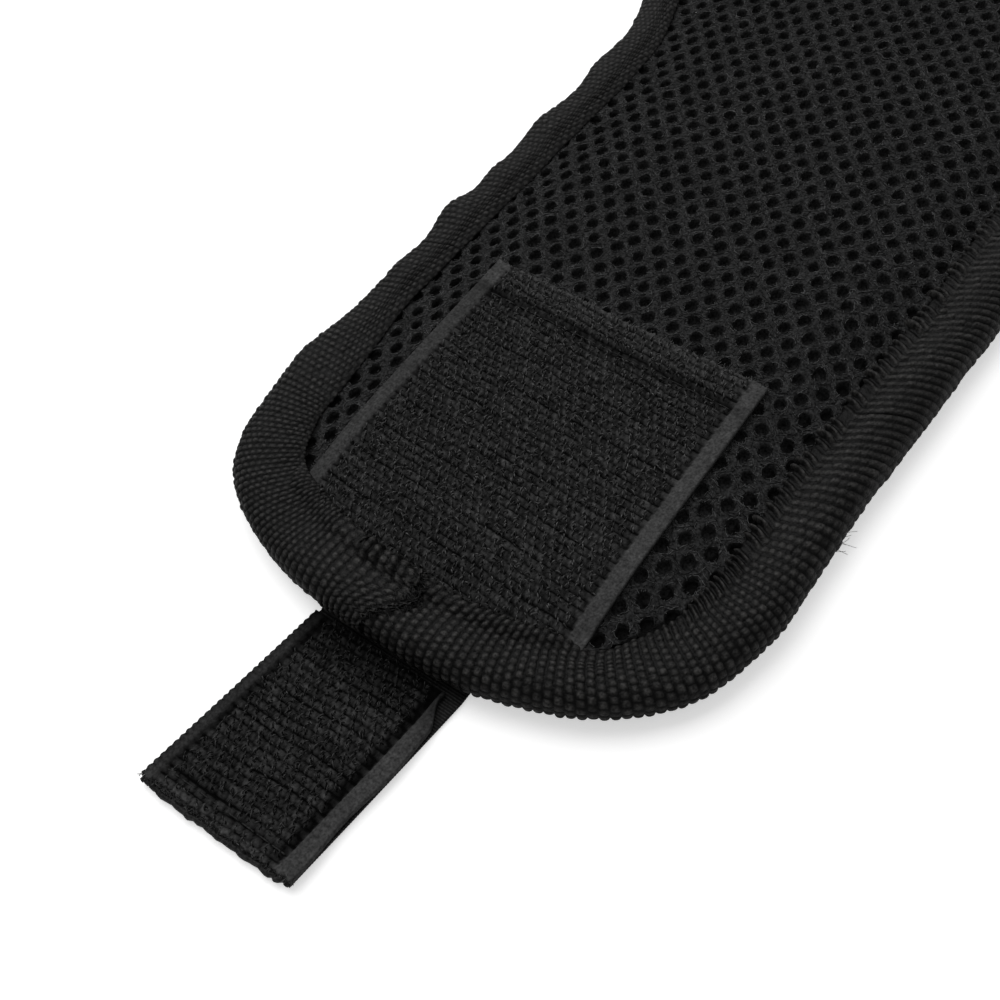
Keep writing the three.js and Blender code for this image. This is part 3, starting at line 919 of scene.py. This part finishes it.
def loose_fibres(edge, draw):
    """Frayed ends along the tape's cut, the knotted thread over it and stray hairs on the right side."""
    piece = Piece()
    starts = edge[draw.integers(8, len(edge) // 2 - 8, JOIN_HAIRS)]
    paths = hairs(starts, (0.1, -0.8, 0.25), draw.uniform(0.4, 1.6, JOIN_HAIRS) * MM, 0.8, draw)
    piece.add_tubes(paths, 0.06 * MM, (0.3, 0.2, 1), 3, False, draw.uniform(0.1, 0.6, (JOIN_HAIRS, 1)))
    knot = np.array((START_X + JOIN_PINCH[1], JOIN_PINCH[0], edge[:, 2].max())) + KNOT_SHIFT
    wander = np.cumsum(draw.normal(0, 0.42, (KNOT_THREADS, KNOT_STEPS, 3)), 1)
    tangle = knot + wander * (MM, 1.2 * MM, 0.35 * MM)
    piece.add_tubes(tangle, 0.07 * MM, (0.3, 0.2, 1), 3, False, draw.uniform(0.1, 0.6, (KNOT_THREADS, 1)))
    x, y, z = STRAY_PLACE
    spots = [draw.normal(x, 1, STRAY_HAIRS), np.full(STRAY_HAIRS, y), draw.normal(z, 0.8, STRAY_HAIRS)]
    at = np.stack(spots, 1) * MM
    paths = hairs(at, (0.3, -1, 0.2), draw.uniform(0.8, 2.4, STRAY_HAIRS) * MM, 0.5, draw)
    piece.add_tubes(paths, 0.035 * MM, (0.3, 0.2, 1), 3, False, 1.0)
    bend(piece.make("loose_fibres", FIBRE, "binding_tape"))


def edge_tape():
    draw = np.random.default_rng(TAPE_SEED)
    tape = Tape(draw)
    points = tape.points()
    over, over_shade, under, under_shade = tape.join()
    for k in range(1, PIECES + 1):
        for side in ("left", "right"):
            rows = tape_rows(tape, k, side)
            nodes = ["binding_end_1"] if k == 1 else [f"binding_{side}_{k}"]
            nodes = nodes + ([f"binding_end_{k + 1}"] if k == PIECES else [])
            face, shade = (over, over_shade) if side == "left" else (under, under_shade)
            if k > 1:
                face, shade = points, tape.shade
            tape_piece(f"edge_tape_{side}_{k}", face[rows], shade[rows], nodes)
    edge_seam(tape, points)
    loose_fibres(over[tape_rows(tape, 1, "left")[-1]], draw)


# The foam and the outer shell

FOAM_MARGIN = TAPE_REACH + 0.5 * MM
FOAM_STEP = 1.2 * MM
SHELL_MARGIN = TAPE_REACH - 5 * MM
SHELL_STEP = 0.8 * MM
SHELL_PITCH = 0.8 * MM
SHELL_THICKNESS = 0.5 * MM
SHELL_SWELL = 0.45 * MM
SHELL_WEAVE = 0.05 * MM


def cut_range(k, margin):
    """The x range of the band's piece k, with its ends margin inside the outline."""
    return ([START_X + margin] + CUT_X)[k - 1], (CUT_X + [END_X - margin])[k - 1]


def band_grid(k, margin, step):
    """A grid over piece k that fills the outline up to margin inside it."""
    low, high = cut_range(k, margin)
    x, share = grid((low, -1), (high, 1), (step, step / HALF_WIDTH))
    return x, half_width(x, share, margin) * share


def magnet_nearness(x, y, margin, fade):
    """1 over a magnet, falling to 0 from margin outside its rim over the fade length."""
    near = np.zeros_like(x)
    for node in MAGNET_NODES:
        low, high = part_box(node)
        gap = np.hypot(x - (low.x + high.x) / 2, y - (low.y + high.y) / 2) - (high.x - low.x) / 2
        near = np.maximum(near, smooth(1 - (gap - margin) / fade))
    return near


def foam():
    for k in range(1, PIECES + 1):
        x, y = band_grid(k, FOAM_MARGIN, FOAM_STEP)
        pocket = magnet_nearness(x, y, 0.3 * MM, 1.2 * MM)
        # Painted shade towards the foam's edge, where it runs under the edge tape
        edge = smooth((inset(x, y) - FOAM_MARGIN) / (4 * MM))
        top = np.clip(lining_height(x, y) - HOLE_DEPTH - 0.3 * MM, HOLE_FLOOR - 0.25 * MM, PAD_BOX[1].z)
        bottom = PAD_BOX[0].z + 0.1 * MM + (top - PAD_BOX[0].z) * 0.75 * pocket
        piece = Piece()
        piece.add_slab(np.dstack([x, y, top]), np.dstack([x, y, bottom]), 0.4 + 0.6 * edge)
        made = piece.make(f"foam_core_{k}", FOAM, "foam")
        bend(made)
        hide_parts(*nodes_for(k, "foam_pad"))


def shell():
    for k in range(1, PIECES + 1):
        x, y = band_grid(k, SHELL_MARGIN, SHELL_STEP)
        swell = SHELL_SWELL * magnet_nearness(x, y, -1 * MM, 3.5 * MM)
        weave = SHELL_WEAVE * np.sin(x * math.pi / SHELL_PITCH) * np.sin(y * math.pi / SHELL_PITCH)
        bottom = SHELL_BOTTOM - swell + weave
        piece = Piece()
        piece.add_slab(np.dstack([x, y, bottom + SHELL_THICKNESS]), np.dstack([x, y, bottom]), 0.8)
        made = piece.make(f"shell_cloth_{k}", SHELL_CLOTH, "shell_cloth")
        bend(made)
        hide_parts(*nodes_for(k, "outer_shell"))


# Hook and loop tapes

def curled(path, places, heights, facing, tilt, size):
    """Copies of an upright path at flat places, turned, tilted and sized, and the normals of their planes."""
    reach = path[:, 0] * size[:, None] + path[:, 1] * np.sin(tilt)[:, None]
    rise = path[:, 1] * size[:, None] * np.cos(tilt)[:, None]
    way = np.stack([np.cos(facing), np.sin(facing)], 1)
    paths = np.dstack([places[:, None] + way[:, None] * reach[..., None], heights[:, None] + rise])
    across = np.stack([-way[:, 1], way[:, 0], 0 * facing], 1)[:, None]
    return paths, np.broadcast_to(across, paths.shape)


def staggered(low, high, row, step, stray, draw):
    """Flat places in rows along Y, each row set half a step on from the last."""
    x, y = grid(low, high, (row, step))
    y = y + (np.arange(len(x)) % 2)[:, None] * step / 2
    spots = np.stack([x, y], -1).reshape(-1, 2)
    return spots + draw.normal(0, stray, spots.shape)


class HookTape:
    """A woven tape with bare selvages beside a field of hooks, from its flat corners."""

    def __init__(self, name, under, low, high, seed):
        self.name, self.under, self.low, self.high = name, under, low, high
        self.draw = np.random.default_rng(seed)
        self.uneven = self.draw.normal(1, KNIT_UNEVEN, (KNIT_TABLE, KNIT_TABLE))

    def pick(self, y, pair):
        """The first of a pair for places on the tape's left half, the second on its right half."""
        return np.where(y > (self.low[1] + self.high[1]) / 2, *pair)

    def knit(self, x, y):
        """The height of the knit's leaning, uneven bumps, set like bricks and with their rows in groups."""
        row = (x - self.tilt * y) / KNIT_ROW + ROW_WAVE * np.sin(y / ROW_WAVE_LENGTH)
        index = np.floor(row).astype(int)
        place = y / KNIT_STEP + 0.5 * (index % 2) - KNIT_SLANT * (row % 1 - 0.5)
        uneven = self.uneven[index % KNIT_TABLE, np.floor(place).astype(int) % KNIT_TABLE]
        group = row / ROW_GROUP
        apart = np.abs((group + 0.5) % 1 - 0.5) * ROW_GROUP * KNIT_ROW
        level, swing = LINE_STRENGTH
        strength = level + swing * np.sin(y / LINE_WAVE_LENGTH + LINE_PHASE * np.round(group))
        line = strength * np.exp(-(apart / ROW_LINE) ** 2)
        bump = (1 - ROW_CUT * (1 - plump(row % 1, 4))) * (1 - STEP_CUT * (1 - plump(place % 1)))
        return bump * (1 - line) * uneven

    def hook_spots(self, low, high):
        """Flat places of the hooks between two corners, a few along the crest of each bump."""
        rows = np.arange(math.floor(low[0] / KNIT_ROW) - 2, math.ceil(high[0] / KNIT_ROW) + 2)
        steps = np.arange(math.floor(low[1] / KNIT_STEP) - 1, math.ceil(high[1] / KNIT_STEP) + 1)
        row, step, across = np.meshgrid(rows, steps, HOOK_PLACES, indexing="ij")
        y = KNIT_STEP * (step + 0.5 - 0.5 * (row % 2) + KNIT_SLANT * (across - 0.5))
        x = KNIT_ROW * (row + across) + self.tilt * y
        inside = (x > low[0]) & (x < high[0]) & (y > low[1]) & (y < high[1])
        spots = np.stack([x[inside], y[inside]], 1)
        return spots + self.draw.normal(0, HOOK_STRAY, spots.shape)

    def painted_shade_and_pale_ends(self, x, y):
        """How light a flat place is: painted shade and painted shadow, and paler cut ends."""
        return 1 + 0 * x

    def warp(self, x, y):
        """Where flat places lie on the object."""
        return x, y

    def bed(self, x, y):
        """The height of what the tape lies on."""
        return 0 * x

    def seam(self, x, y):
        """How far stitching draws a flat place in."""
        return 0 * x

    def cut(self, x, y):
        """How near a flat place is to a cut end."""
        return 0 * x

    def seams(self):
        """The straight lines of stitching between flat places."""
        return []

    def laid(self, x, y, lift):
        px, py = self.warp(x, y)
        return np.stack([px, py, self.bed(px, py) + lift], -1)

    def cloth(self):
        x, y = grid(self.low, self.high, CLOTH_STEPS)
        rim = np.minimum(y - self.low[1], self.high[1] - y) - self.pick(y, self.selvages)
        selvage = smooth(-rim / (0.4 * MM))
        rib = np.sin(x * 2 * math.pi / SELVAGE_RIB)
        knit = self.knit(x, y)
        pull = self.seam(x, y) * (1 - selvage)
        raised = selvage * (0.15 + 0.03 * rib) * MM
        lift = TAPE_THICKNESS + raised + (1 - selvage) * KNIT_RELIEF * (knit - 0.5)
        # Painted shadow in a line just inside each selvage
        gutter = np.exp(-((rim - 0.25 * MM) / (0.35 * MM)) ** 2)
        # Knit bumps light and their gaps dark: painted shade, with uneven tone
        ground = GROUND_TONE + self.contrast * (knit - knit.mean())
        shade = ground * (1 - selvage) + (0.86 + 0.06 * rib) * self.pick(y, self.tones) * selvage
        # Painted shade where stitching draws the tape in and under the edge tape
        shade = shade * (1 - 0.4 * pull) * (1 - 0.35 * gutter) * self.painted_shade_and_pale_ends(x, y)
        ragged = self.cut(x, y) * self.draw.normal(0, 0.12 * MM, x.shape[1])
        piece = Piece()
        bottom = self.laid(x + ragged, y, 0)
        piece.add_slab(self.laid(x + ragged, y, lift - 0.45 * MM * pull), bottom, shade)
        made = piece.make(f"{self.name}_cloth", TAPE, "hook_tape")
        return made

    def hooks(self):
        draw = self.draw
        left, right = (width + 0.5 * MM for width in self.selvages)
        low, high = (self.low[0], self.low[1] + right), (self.high[0], self.high[1] - left)
        spots = self.hook_spots(low, high)
        x, y = spots.T
        spots = spots[(self.seam(x, y) < 0.6) & (self.cut(x, y) < 0.5)]
        x, y = spots.T
        count = len(spots)
        feet = self.laid(x, y, TAPE_THICKNESS)
        along = math.atan2(KNIT_SLANT * KNIT_STEP, KNIT_ROW)
        facing = along + math.pi * draw.integers(0, 2, count) + draw.normal(0, HOOK_TURN, count)
        tilt, size = draw.normal(0, 0.25, count), draw.normal(0.85, 0.13, count)
        paths, across = curled(HOOK_PATH, feet[:, :2], feet[:, 2], facing, tilt, size)
        # Hooks are painted lighter towards their tops: painted light
        high_up = 0.3 + 0.7 * HOOK_PATH[:, 1] / HOOK_PATH[:, 1].max()
        piece = Piece()
        lit = np.clip(high_up * draw.uniform(0.35, 1.2, (count, 1)), 0, 1)
        shade = lit * self.gleam * self.painted_shade_and_pale_ends(x, y)[:, None]
        piece.add_tubes(paths, HOOK_RADIUS, across, 3, False, shade)
        self.fray(piece)
        return piece.make(f"{self.name}_hooks", HOOKS, "hook_tape")

    def fray(self, piece):
        """Short fibres along the cut end."""
        x, y = grid(self.low, self.high, CLOTH_STEPS)
        ends = np.argwhere(self.cut(x, y) > 0.95)
        count, short, long, rise = self.fringe
        picked = ends[self.draw.integers(0, len(ends), count)]
        at = self.laid(x[tuple(picked.T)], y[tuple(picked.T)], TAPE_THICKNESS * 0.8)
        way = (1 if self.cut(self.high[0], 0) > 0.5 else -1, 0, rise)
        paths = hairs(at, way, self.draw.uniform(short, long, len(at)) * MM, 0.6, self.draw)
        piece.add_tubes(paths, FRAY_RADIUS, (0.2, 0.3, 1), 3, False, self.draw.uniform(0.4, 1, (len(at), 1)))

    def stitching(self):
        piece = Piece()
        for start, end in self.seams():
            run = np.asarray(end) - start
            count = max(1, round(np.linalg.norm(run) / STITCH_LENGTH))
            share = (np.arange(count)[:, None] + np.linspace(0.08, 0.92, 5)) / count
            places = start + share[..., None] * run
            arch = 0.12 * MM * np.sin(np.linspace(0, math.pi, 5)) + TAPE_THICKNESS - 0.4 * MM
            path = self.laid(places[..., 0], places[..., 1], arch)
            piece.add_tubes(path, SEAM_THREAD, (0.1, 0.1, 1), 4, False, 1.0)
        return piece.make(f"{self.name}_seam", THREAD, "hook_tape")

    def make(self, attach, *nodes):
        tape = self.cloth()
        for piece in (tape, self.hooks(), self.stitching()):
            attach(piece)
        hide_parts(*nodes)


class Patch(HookTape):
    """The hook patch, sewn askew on the lining with its near end under the edge tape."""

    tilt, selvages, tones = PATCH_TILT, PATCH_SELVAGES, (0.95, 1.2)
    contrast, gleam, fringe = 0.9, 1.0, PATCH_FRINGE

    def __init__(self):
        corners = (PATCH_LOW.x - PATCH_TUCK, PATCH_LOW.y), (PATCH_HIGH.x, PATCH_HIGH.y)
        super().__init__("hook_patch", "air_mesh_1", *corners, PATCH_SEED)

    def painted_shade_and_pale_ends(self, x, y):
        strip = smooth((x - self.high[0] + PATCH_SEAM - 1 * MM) / (1 * MM))
        rim = smooth((x - self.high[0] + 1 * MM) / (0.6 * MM))
        # Painted shade in the seam's groove; the far strip and the cut edge are paler
        groove = np.exp(-((x - self.high[0] + PATCH_SEAM) / PATCH_SEAM_REACH) ** 2)
        return 1 + 0.2 * strip + 0.4 * rim - 0.3 * groove + 0 * y

    def warp(self, x, y):
        far = (x - self.low[0]) / (self.high[0] - self.low[0])
        across = self.low[1] + PATCH_NARROW * (y - self.low[1])
        return x + PATCH_SKEW * far * (y - (self.low[1] + self.high[1]) / 2), across - PATCH_DRIFT * (1 - far)

    def bed(self, x, y):
        tucked = smooth((TAPE_REACH + 2.5 * MM - inset(x, y)) / (3 * MM))
        return lining_height(x, y) + PATCH_RISE - PATCH_DIP * tucked

    def seam(self, x, y):
        tucked = smooth((TAPE_REACH - inset(x, y)) / (1 * MM))
        drawn = 0.7 + 0.3 * np.cos(y * math.pi / STITCH_LENGTH) ** 2
        line = np.exp(-((x - self.high[0] + PATCH_SEAM) / PATCH_SEAM_REACH) ** 2)
        return np.maximum(drawn * line, tucked)

    def cut(self, x, y):
        return smooth((x - self.high[0] + 0.7 * MM) / (0.3 * MM)) + 0 * y

    def seams(self):
        x = self.high[0] - PATCH_SEAM
        return [((x, self.low[1] + self.selvages[1]), (x, self.high[1] - self.selvages[0]))]


def tab_share(x):
    """0 where the tab leaves the band, 1 at its tip."""
    return np.clip((START_X - x) / (START_X - WEBBING_BOX[0].x), 0, 1)


def tab_warp(x, y):
    """The tab drifts to the left towards its tip, which is cut a little askew."""
    share = tab_share(x)
    side = y / WEBBING_BOX[1].y
    drift = TAB_SHIFT + TAB_DRIFT * share
    return x - TAB_SLANT * share ** 4 * side, y * (1 + TAB_WIDEN * share) + drift


class TabTape(HookTape):
    """The tab's hook tape, sewn round its edge to the webbing."""

    tilt, selvages, tones = TAB_TILT, TAB_SELVAGES, (0.7, 1.1)
    contrast, gleam, fringe = 1.0, 0.65, TAB_FRINGE

    def __init__(self):
        low, high = TAB_TAPE_BOX
        super().__init__("tab_tape", "tab_strap", (low.x, low.y), (high.x, high.y), TAB_SEED)

    def painted_shade_and_pale_ends(self, x, y):
        tip = smooth((self.low[0] + 1.8 * MM - x) / (1 * MM))
        # Painted shade in the gaps between the beads of the left rim
        bead = np.abs(np.sin(x * math.pi / BEAD_PITCH))
        gap = smooth((y - self.high[1] + 0.7 * MM) / (0.5 * MM)) * (1 - bead)
        # Painted shadow of the band over the tab's root; the tip is paler
        darkened = 0.45 + 0.55 * smooth((START_X - 1 * MM - x) / (8 * MM)) + 0.3 * tip
        # Painted shadow in a groove beside the right selvage
        beside = y - self.low[1] - self.selvages[1] - 0.7 * MM
        groove = smooth(beside / (0.3 * MM) + 1.5) * smooth(1.5 - beside / (0.7 * MM))
        return darkened * (1 - 0.6 * gap) * (1 - 0.4 * groove)

    def warp(self, x, y):
        beyond = np.maximum(self.low[1] + self.selvages[1] - y, 0)
        bare = beyond * 0.85 * smooth((x - TAB_BARE_X) / (5 * MM))
        bead = np.abs(np.sin(x * math.pi / BEAD_PITCH)) * smooth((y - self.high[1] + 0.7 * MM) / (0.7 * MM))
        return tab_warp(x, y + bare + TAB_RIM * bead + 0.08 * beyond * np.sin(x / (2.6 * MM)))

    def bed(self, x, y):
        return TAB_TAPE_BOX[0].z + TAB_CURL * tab_share(x) ** 2

    def seam(self, x, y):
        sway = 0.3 * MM * np.sin(y / (2.1 * MM)) + 0.2 * MM * np.sin(y / (0.9 * MM))
        side = self.high[1] - self.pick(y, self.selvages) - np.abs(y)
        inside = np.minimum(side, x - self.low[0] - TAB_SEAM - sway)
        return np.exp(-(inside / (0.95 * MM)) ** 2)

    def cut(self, x, y):
        return smooth((self.low[0] + 0.7 * MM - x) / (0.3 * MM)) + 0 * y

    def seams(self):
        x = self.low[0] + TAB_SEAM
        return [((x, self.low[1] + self.selvages[1]), (x, self.high[1] - self.selvages[0]))]


def tab_strap():
    low, high = WEBBING_BOX
    draw = np.random.default_rng(STRAP_SEED)
    x, turn = grid((low.x, -math.pi / 2), (ANCHOR_END_X, math.pi / 2), (WEBBING_STEP, math.pi / 48))
    share = np.sin(turn)
    bead = (0.4 + 0.6 * np.abs(np.sin(x * math.pi / BEAD_PITCH))) * smooth((share - 0.94) / 0.06)
    px, py = tab_warp(x, share * high.y)
    fringe = TAB_OVERHANG * (1 - 0.6 * share ** 8) + draw.normal(0, 0.12 * MM, share.shape[1])
    px = px - fringe * tab_share(x) ** 8
    wave = np.sin(x * 2 * math.pi / WEBBING_RIB)
    pale = smooth((tab_share(x) - 0.96) / 0.03)
    rib = 0.05 * MM * wave
    curl = TAB_CURL * tab_share(x) ** 2
    piece = Piece()
    top = np.dstack([px, py + TAB_RIM * bead, high.z - 0.1 * MM + rib + curl])
    bottom = np.dstack([px, py + TAB_RIM * bead, low.z + 0.1 * MM - rib + curl])
    piece.add_slab(top, bottom, 0.32 + 0.28 * wave + 0.4 * pale)
    made = piece.make("tab_strap", WEBBING, "webbing")
    bend_tab(made)
    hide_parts("tab_webbing", "tab_anchor")


def loop_tape(k, low, high, *nodes):
    """The ground of the loop tape in one of the band's pieces."""
    x, y = grid(low, high, (0.7 * MM, 0.7 * MM))
    top = np.dstack([x, y, 0 * x + LOOP_HIGH.z])
    piece = Piece()
    piece.add_slab(top, top - (0, 0, TAPE_THICKNESS), 0.35)
    made = piece.make(f"loop_tape_{k}", LOOPS, "loop_tape")
    bend(made)
    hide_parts(*nodes)


def loop_pile():
    """The loops that hang from the loop tape's lower face."""
    draw = np.random.default_rng(LOOP_SEED)
    spots = staggered(LOOP_LOW, LOOP_HIGH, LOOP_PITCH, LOOP_PITCH, LOOP_STRAY, draw)
    spots = np.clip(spots, np.array(LOOP_LOW)[:2] + LOOP_INSET, np.array(LOOP_HIGH)[:2] - LOOP_INSET)
    count = len(spots)
    turn, tilt = draw.uniform(0, 2 * math.pi, count), draw.normal(0, 0.5, count)
    size = np.minimum(draw.normal(0.9, 0.1, count), 1)
    feet = np.full(count, LOOP_HIGH.z - TAPE_THICKNESS)
    paths, across = curled(LOOP_PATH, spots, feet, turn, tilt, size)
    shade = draw.uniform(0.4, 1, (count, 1))
    for k in np.unique(piece_of(spots[:, 0])):
        here = piece_of(spots[:, 0]) == k
        piece = Piece()
        piece.add_tubes(paths[here], LOOP_RADIUS, across[here], 3, False, shade[here])
        bend(piece.make(f"loop_pile_{k}", LOOPS, "loop_tape"))


def loop_strip():
    """The loop tape under the far end, in two pieces that meet where the band stays straight."""
    middle = CUT_X[-1]
    loop_tape(PIECES - 1, (LOOP_LOW.x, LOOP_LOW.y), (middle, LOOP_HIGH.y), "loop_strip_7")
    loop_tape(PIECES, (middle, LOOP_LOW.y), (LOOP_HIGH.x, LOOP_HIGH.y), "loop_strip_7", "loop_strip_8")
    loop_pile()


# Stage, light and camera

FLOOR_GLOW = 0.5
FLOOR_RADIUS = 0.58
FLOOR_MIDDLE = (0.02, 0.18, 0)
FLOOR_SIDES = 96
WORLD_LIGHT = 0.35
KEY_PLACE = (0.12, 0.4, 0.72)
KEY_SIZE = 0.9
KEY_POWER = 6


def floor_material():
    """A pale floor that also glows for the camera, so that it looks white and keeps the shadow."""
    floor = bpy.data.materials.new("floor")
    floor.use_nodes = True
    tree = floor.node_tree
    shader = tree.nodes["Principled BSDF"]
    shader.inputs["Base Color"].default_value = (0.86, 0.86, 0.86, 1)
    shader.inputs["Roughness"].default_value = 0.9
    glow = tree.nodes.new("ShaderNodeEmission")
    glow.inputs["Strength"].default_value = FLOOR_GLOW
    clear = tree.nodes.new("ShaderNodeEmission")
    clear.inputs["Strength"].default_value = 0
    ray = tree.nodes.new("ShaderNodeLightPath")
    pick = tree.nodes.new("ShaderNodeMixShader")
    both = tree.nodes.new("ShaderNodeAddShader")
    link(tree, ray, "Is Camera Ray", pick, "Fac")
    tree.links.new(clear.outputs[0], pick.inputs[1])
    tree.links.new(glow.outputs[0], pick.inputs[2])
    tree.links.new(shader.outputs[0], both.inputs[0])
    tree.links.new(pick.outputs[0], both.inputs[1])
    tree.links.new(both.outputs[0], tree.nodes["Material Output"].inputs["Surface"])
    return floor


def stage():
    turn = np.arange(FLOOR_SIDES) * 2 * math.pi / FLOOR_SIDES
    rim = np.stack([np.cos(turn), np.sin(turn), 0 * turn], 1) * FLOOR_RADIUS + FLOOR_MIDDLE
    mesh = bpy.data.meshes.new("floor")
    mesh.from_pydata(rim.tolist(), [], [list(range(FLOOR_SIDES))])
    mesh.materials.append(floor_material())
    made = bpy.data.objects.new("floor", mesh)
    bpy.context.scene.collection.objects.link(made)


def lamp(name, place, size, power):
    data = bpy.data.lights.new(name, "AREA")
    data.shape = "SQUARE"
    data.size = size
    data.energy = power
    made = bpy.data.objects.new(name, data)
    made.location = place
    made.rotation_mode = "QUATERNION"
    made.rotation_quaternion = (CAMERA_AIM - Vector(place)).to_track_quat("-Z", "Y")
    bpy.context.scene.collection.objects.link(made)


def studio():
    world = bpy.data.worlds.new("studio")
    bpy.context.scene.world = world
    world.use_nodes = True
    tree = world.node_tree
    back = tree.nodes["Background"]
    back.inputs["Color"].default_value = (1, 1, 1, 1)
    ray = tree.nodes.new("ShaderNodeLightPath")
    link(tree, spread(tree, ray, "Is Camera Ray", WORLD_LIGHT, 1.0), "Result", back, "Strength")
    lamp("key", KEY_PLACE, KEY_SIZE, KEY_POWER)


def camera():
    data = bpy.data.cameras.new("camera")
    data.lens = CAMERA_LENS
    data.sensor_width = CAMERA_SENSOR
    data.clip_start = CAMERA_NEAR
    made = bpy.data.objects.new("camera", data)
    made.location = CAMERA_PLACE
    made.rotation_mode = "QUATERNION"
    level = (CAMERA_AIM - CAMERA_PLACE).to_track_quat("-Z", "Y")
    made.rotation_quaternion = level @ Quaternion((0, 0, 1), CAMERA_ROLL)
    bpy.context.scene.collection.objects.link(made)
    bpy.context.scene.camera = made


def magnets():
    finish = plating()
    for node in MAGNET_NODES:
        frame["nodes"][node].data.materials.clear()
        frame["nodes"][node].data.materials.append(finish)


bpy.context.scene.view_settings.view_transform = "Standard"
camera()
studio()
stage()
lining()
edge_tape()
foam()
shell()
Patch().make(lambda piece: bend(piece), "hook_patch_1", "hook_patch_2")
tab_strap()
TabTape().make(bend_tab, "tab_hook_tape")
loop_strip()
magnets()
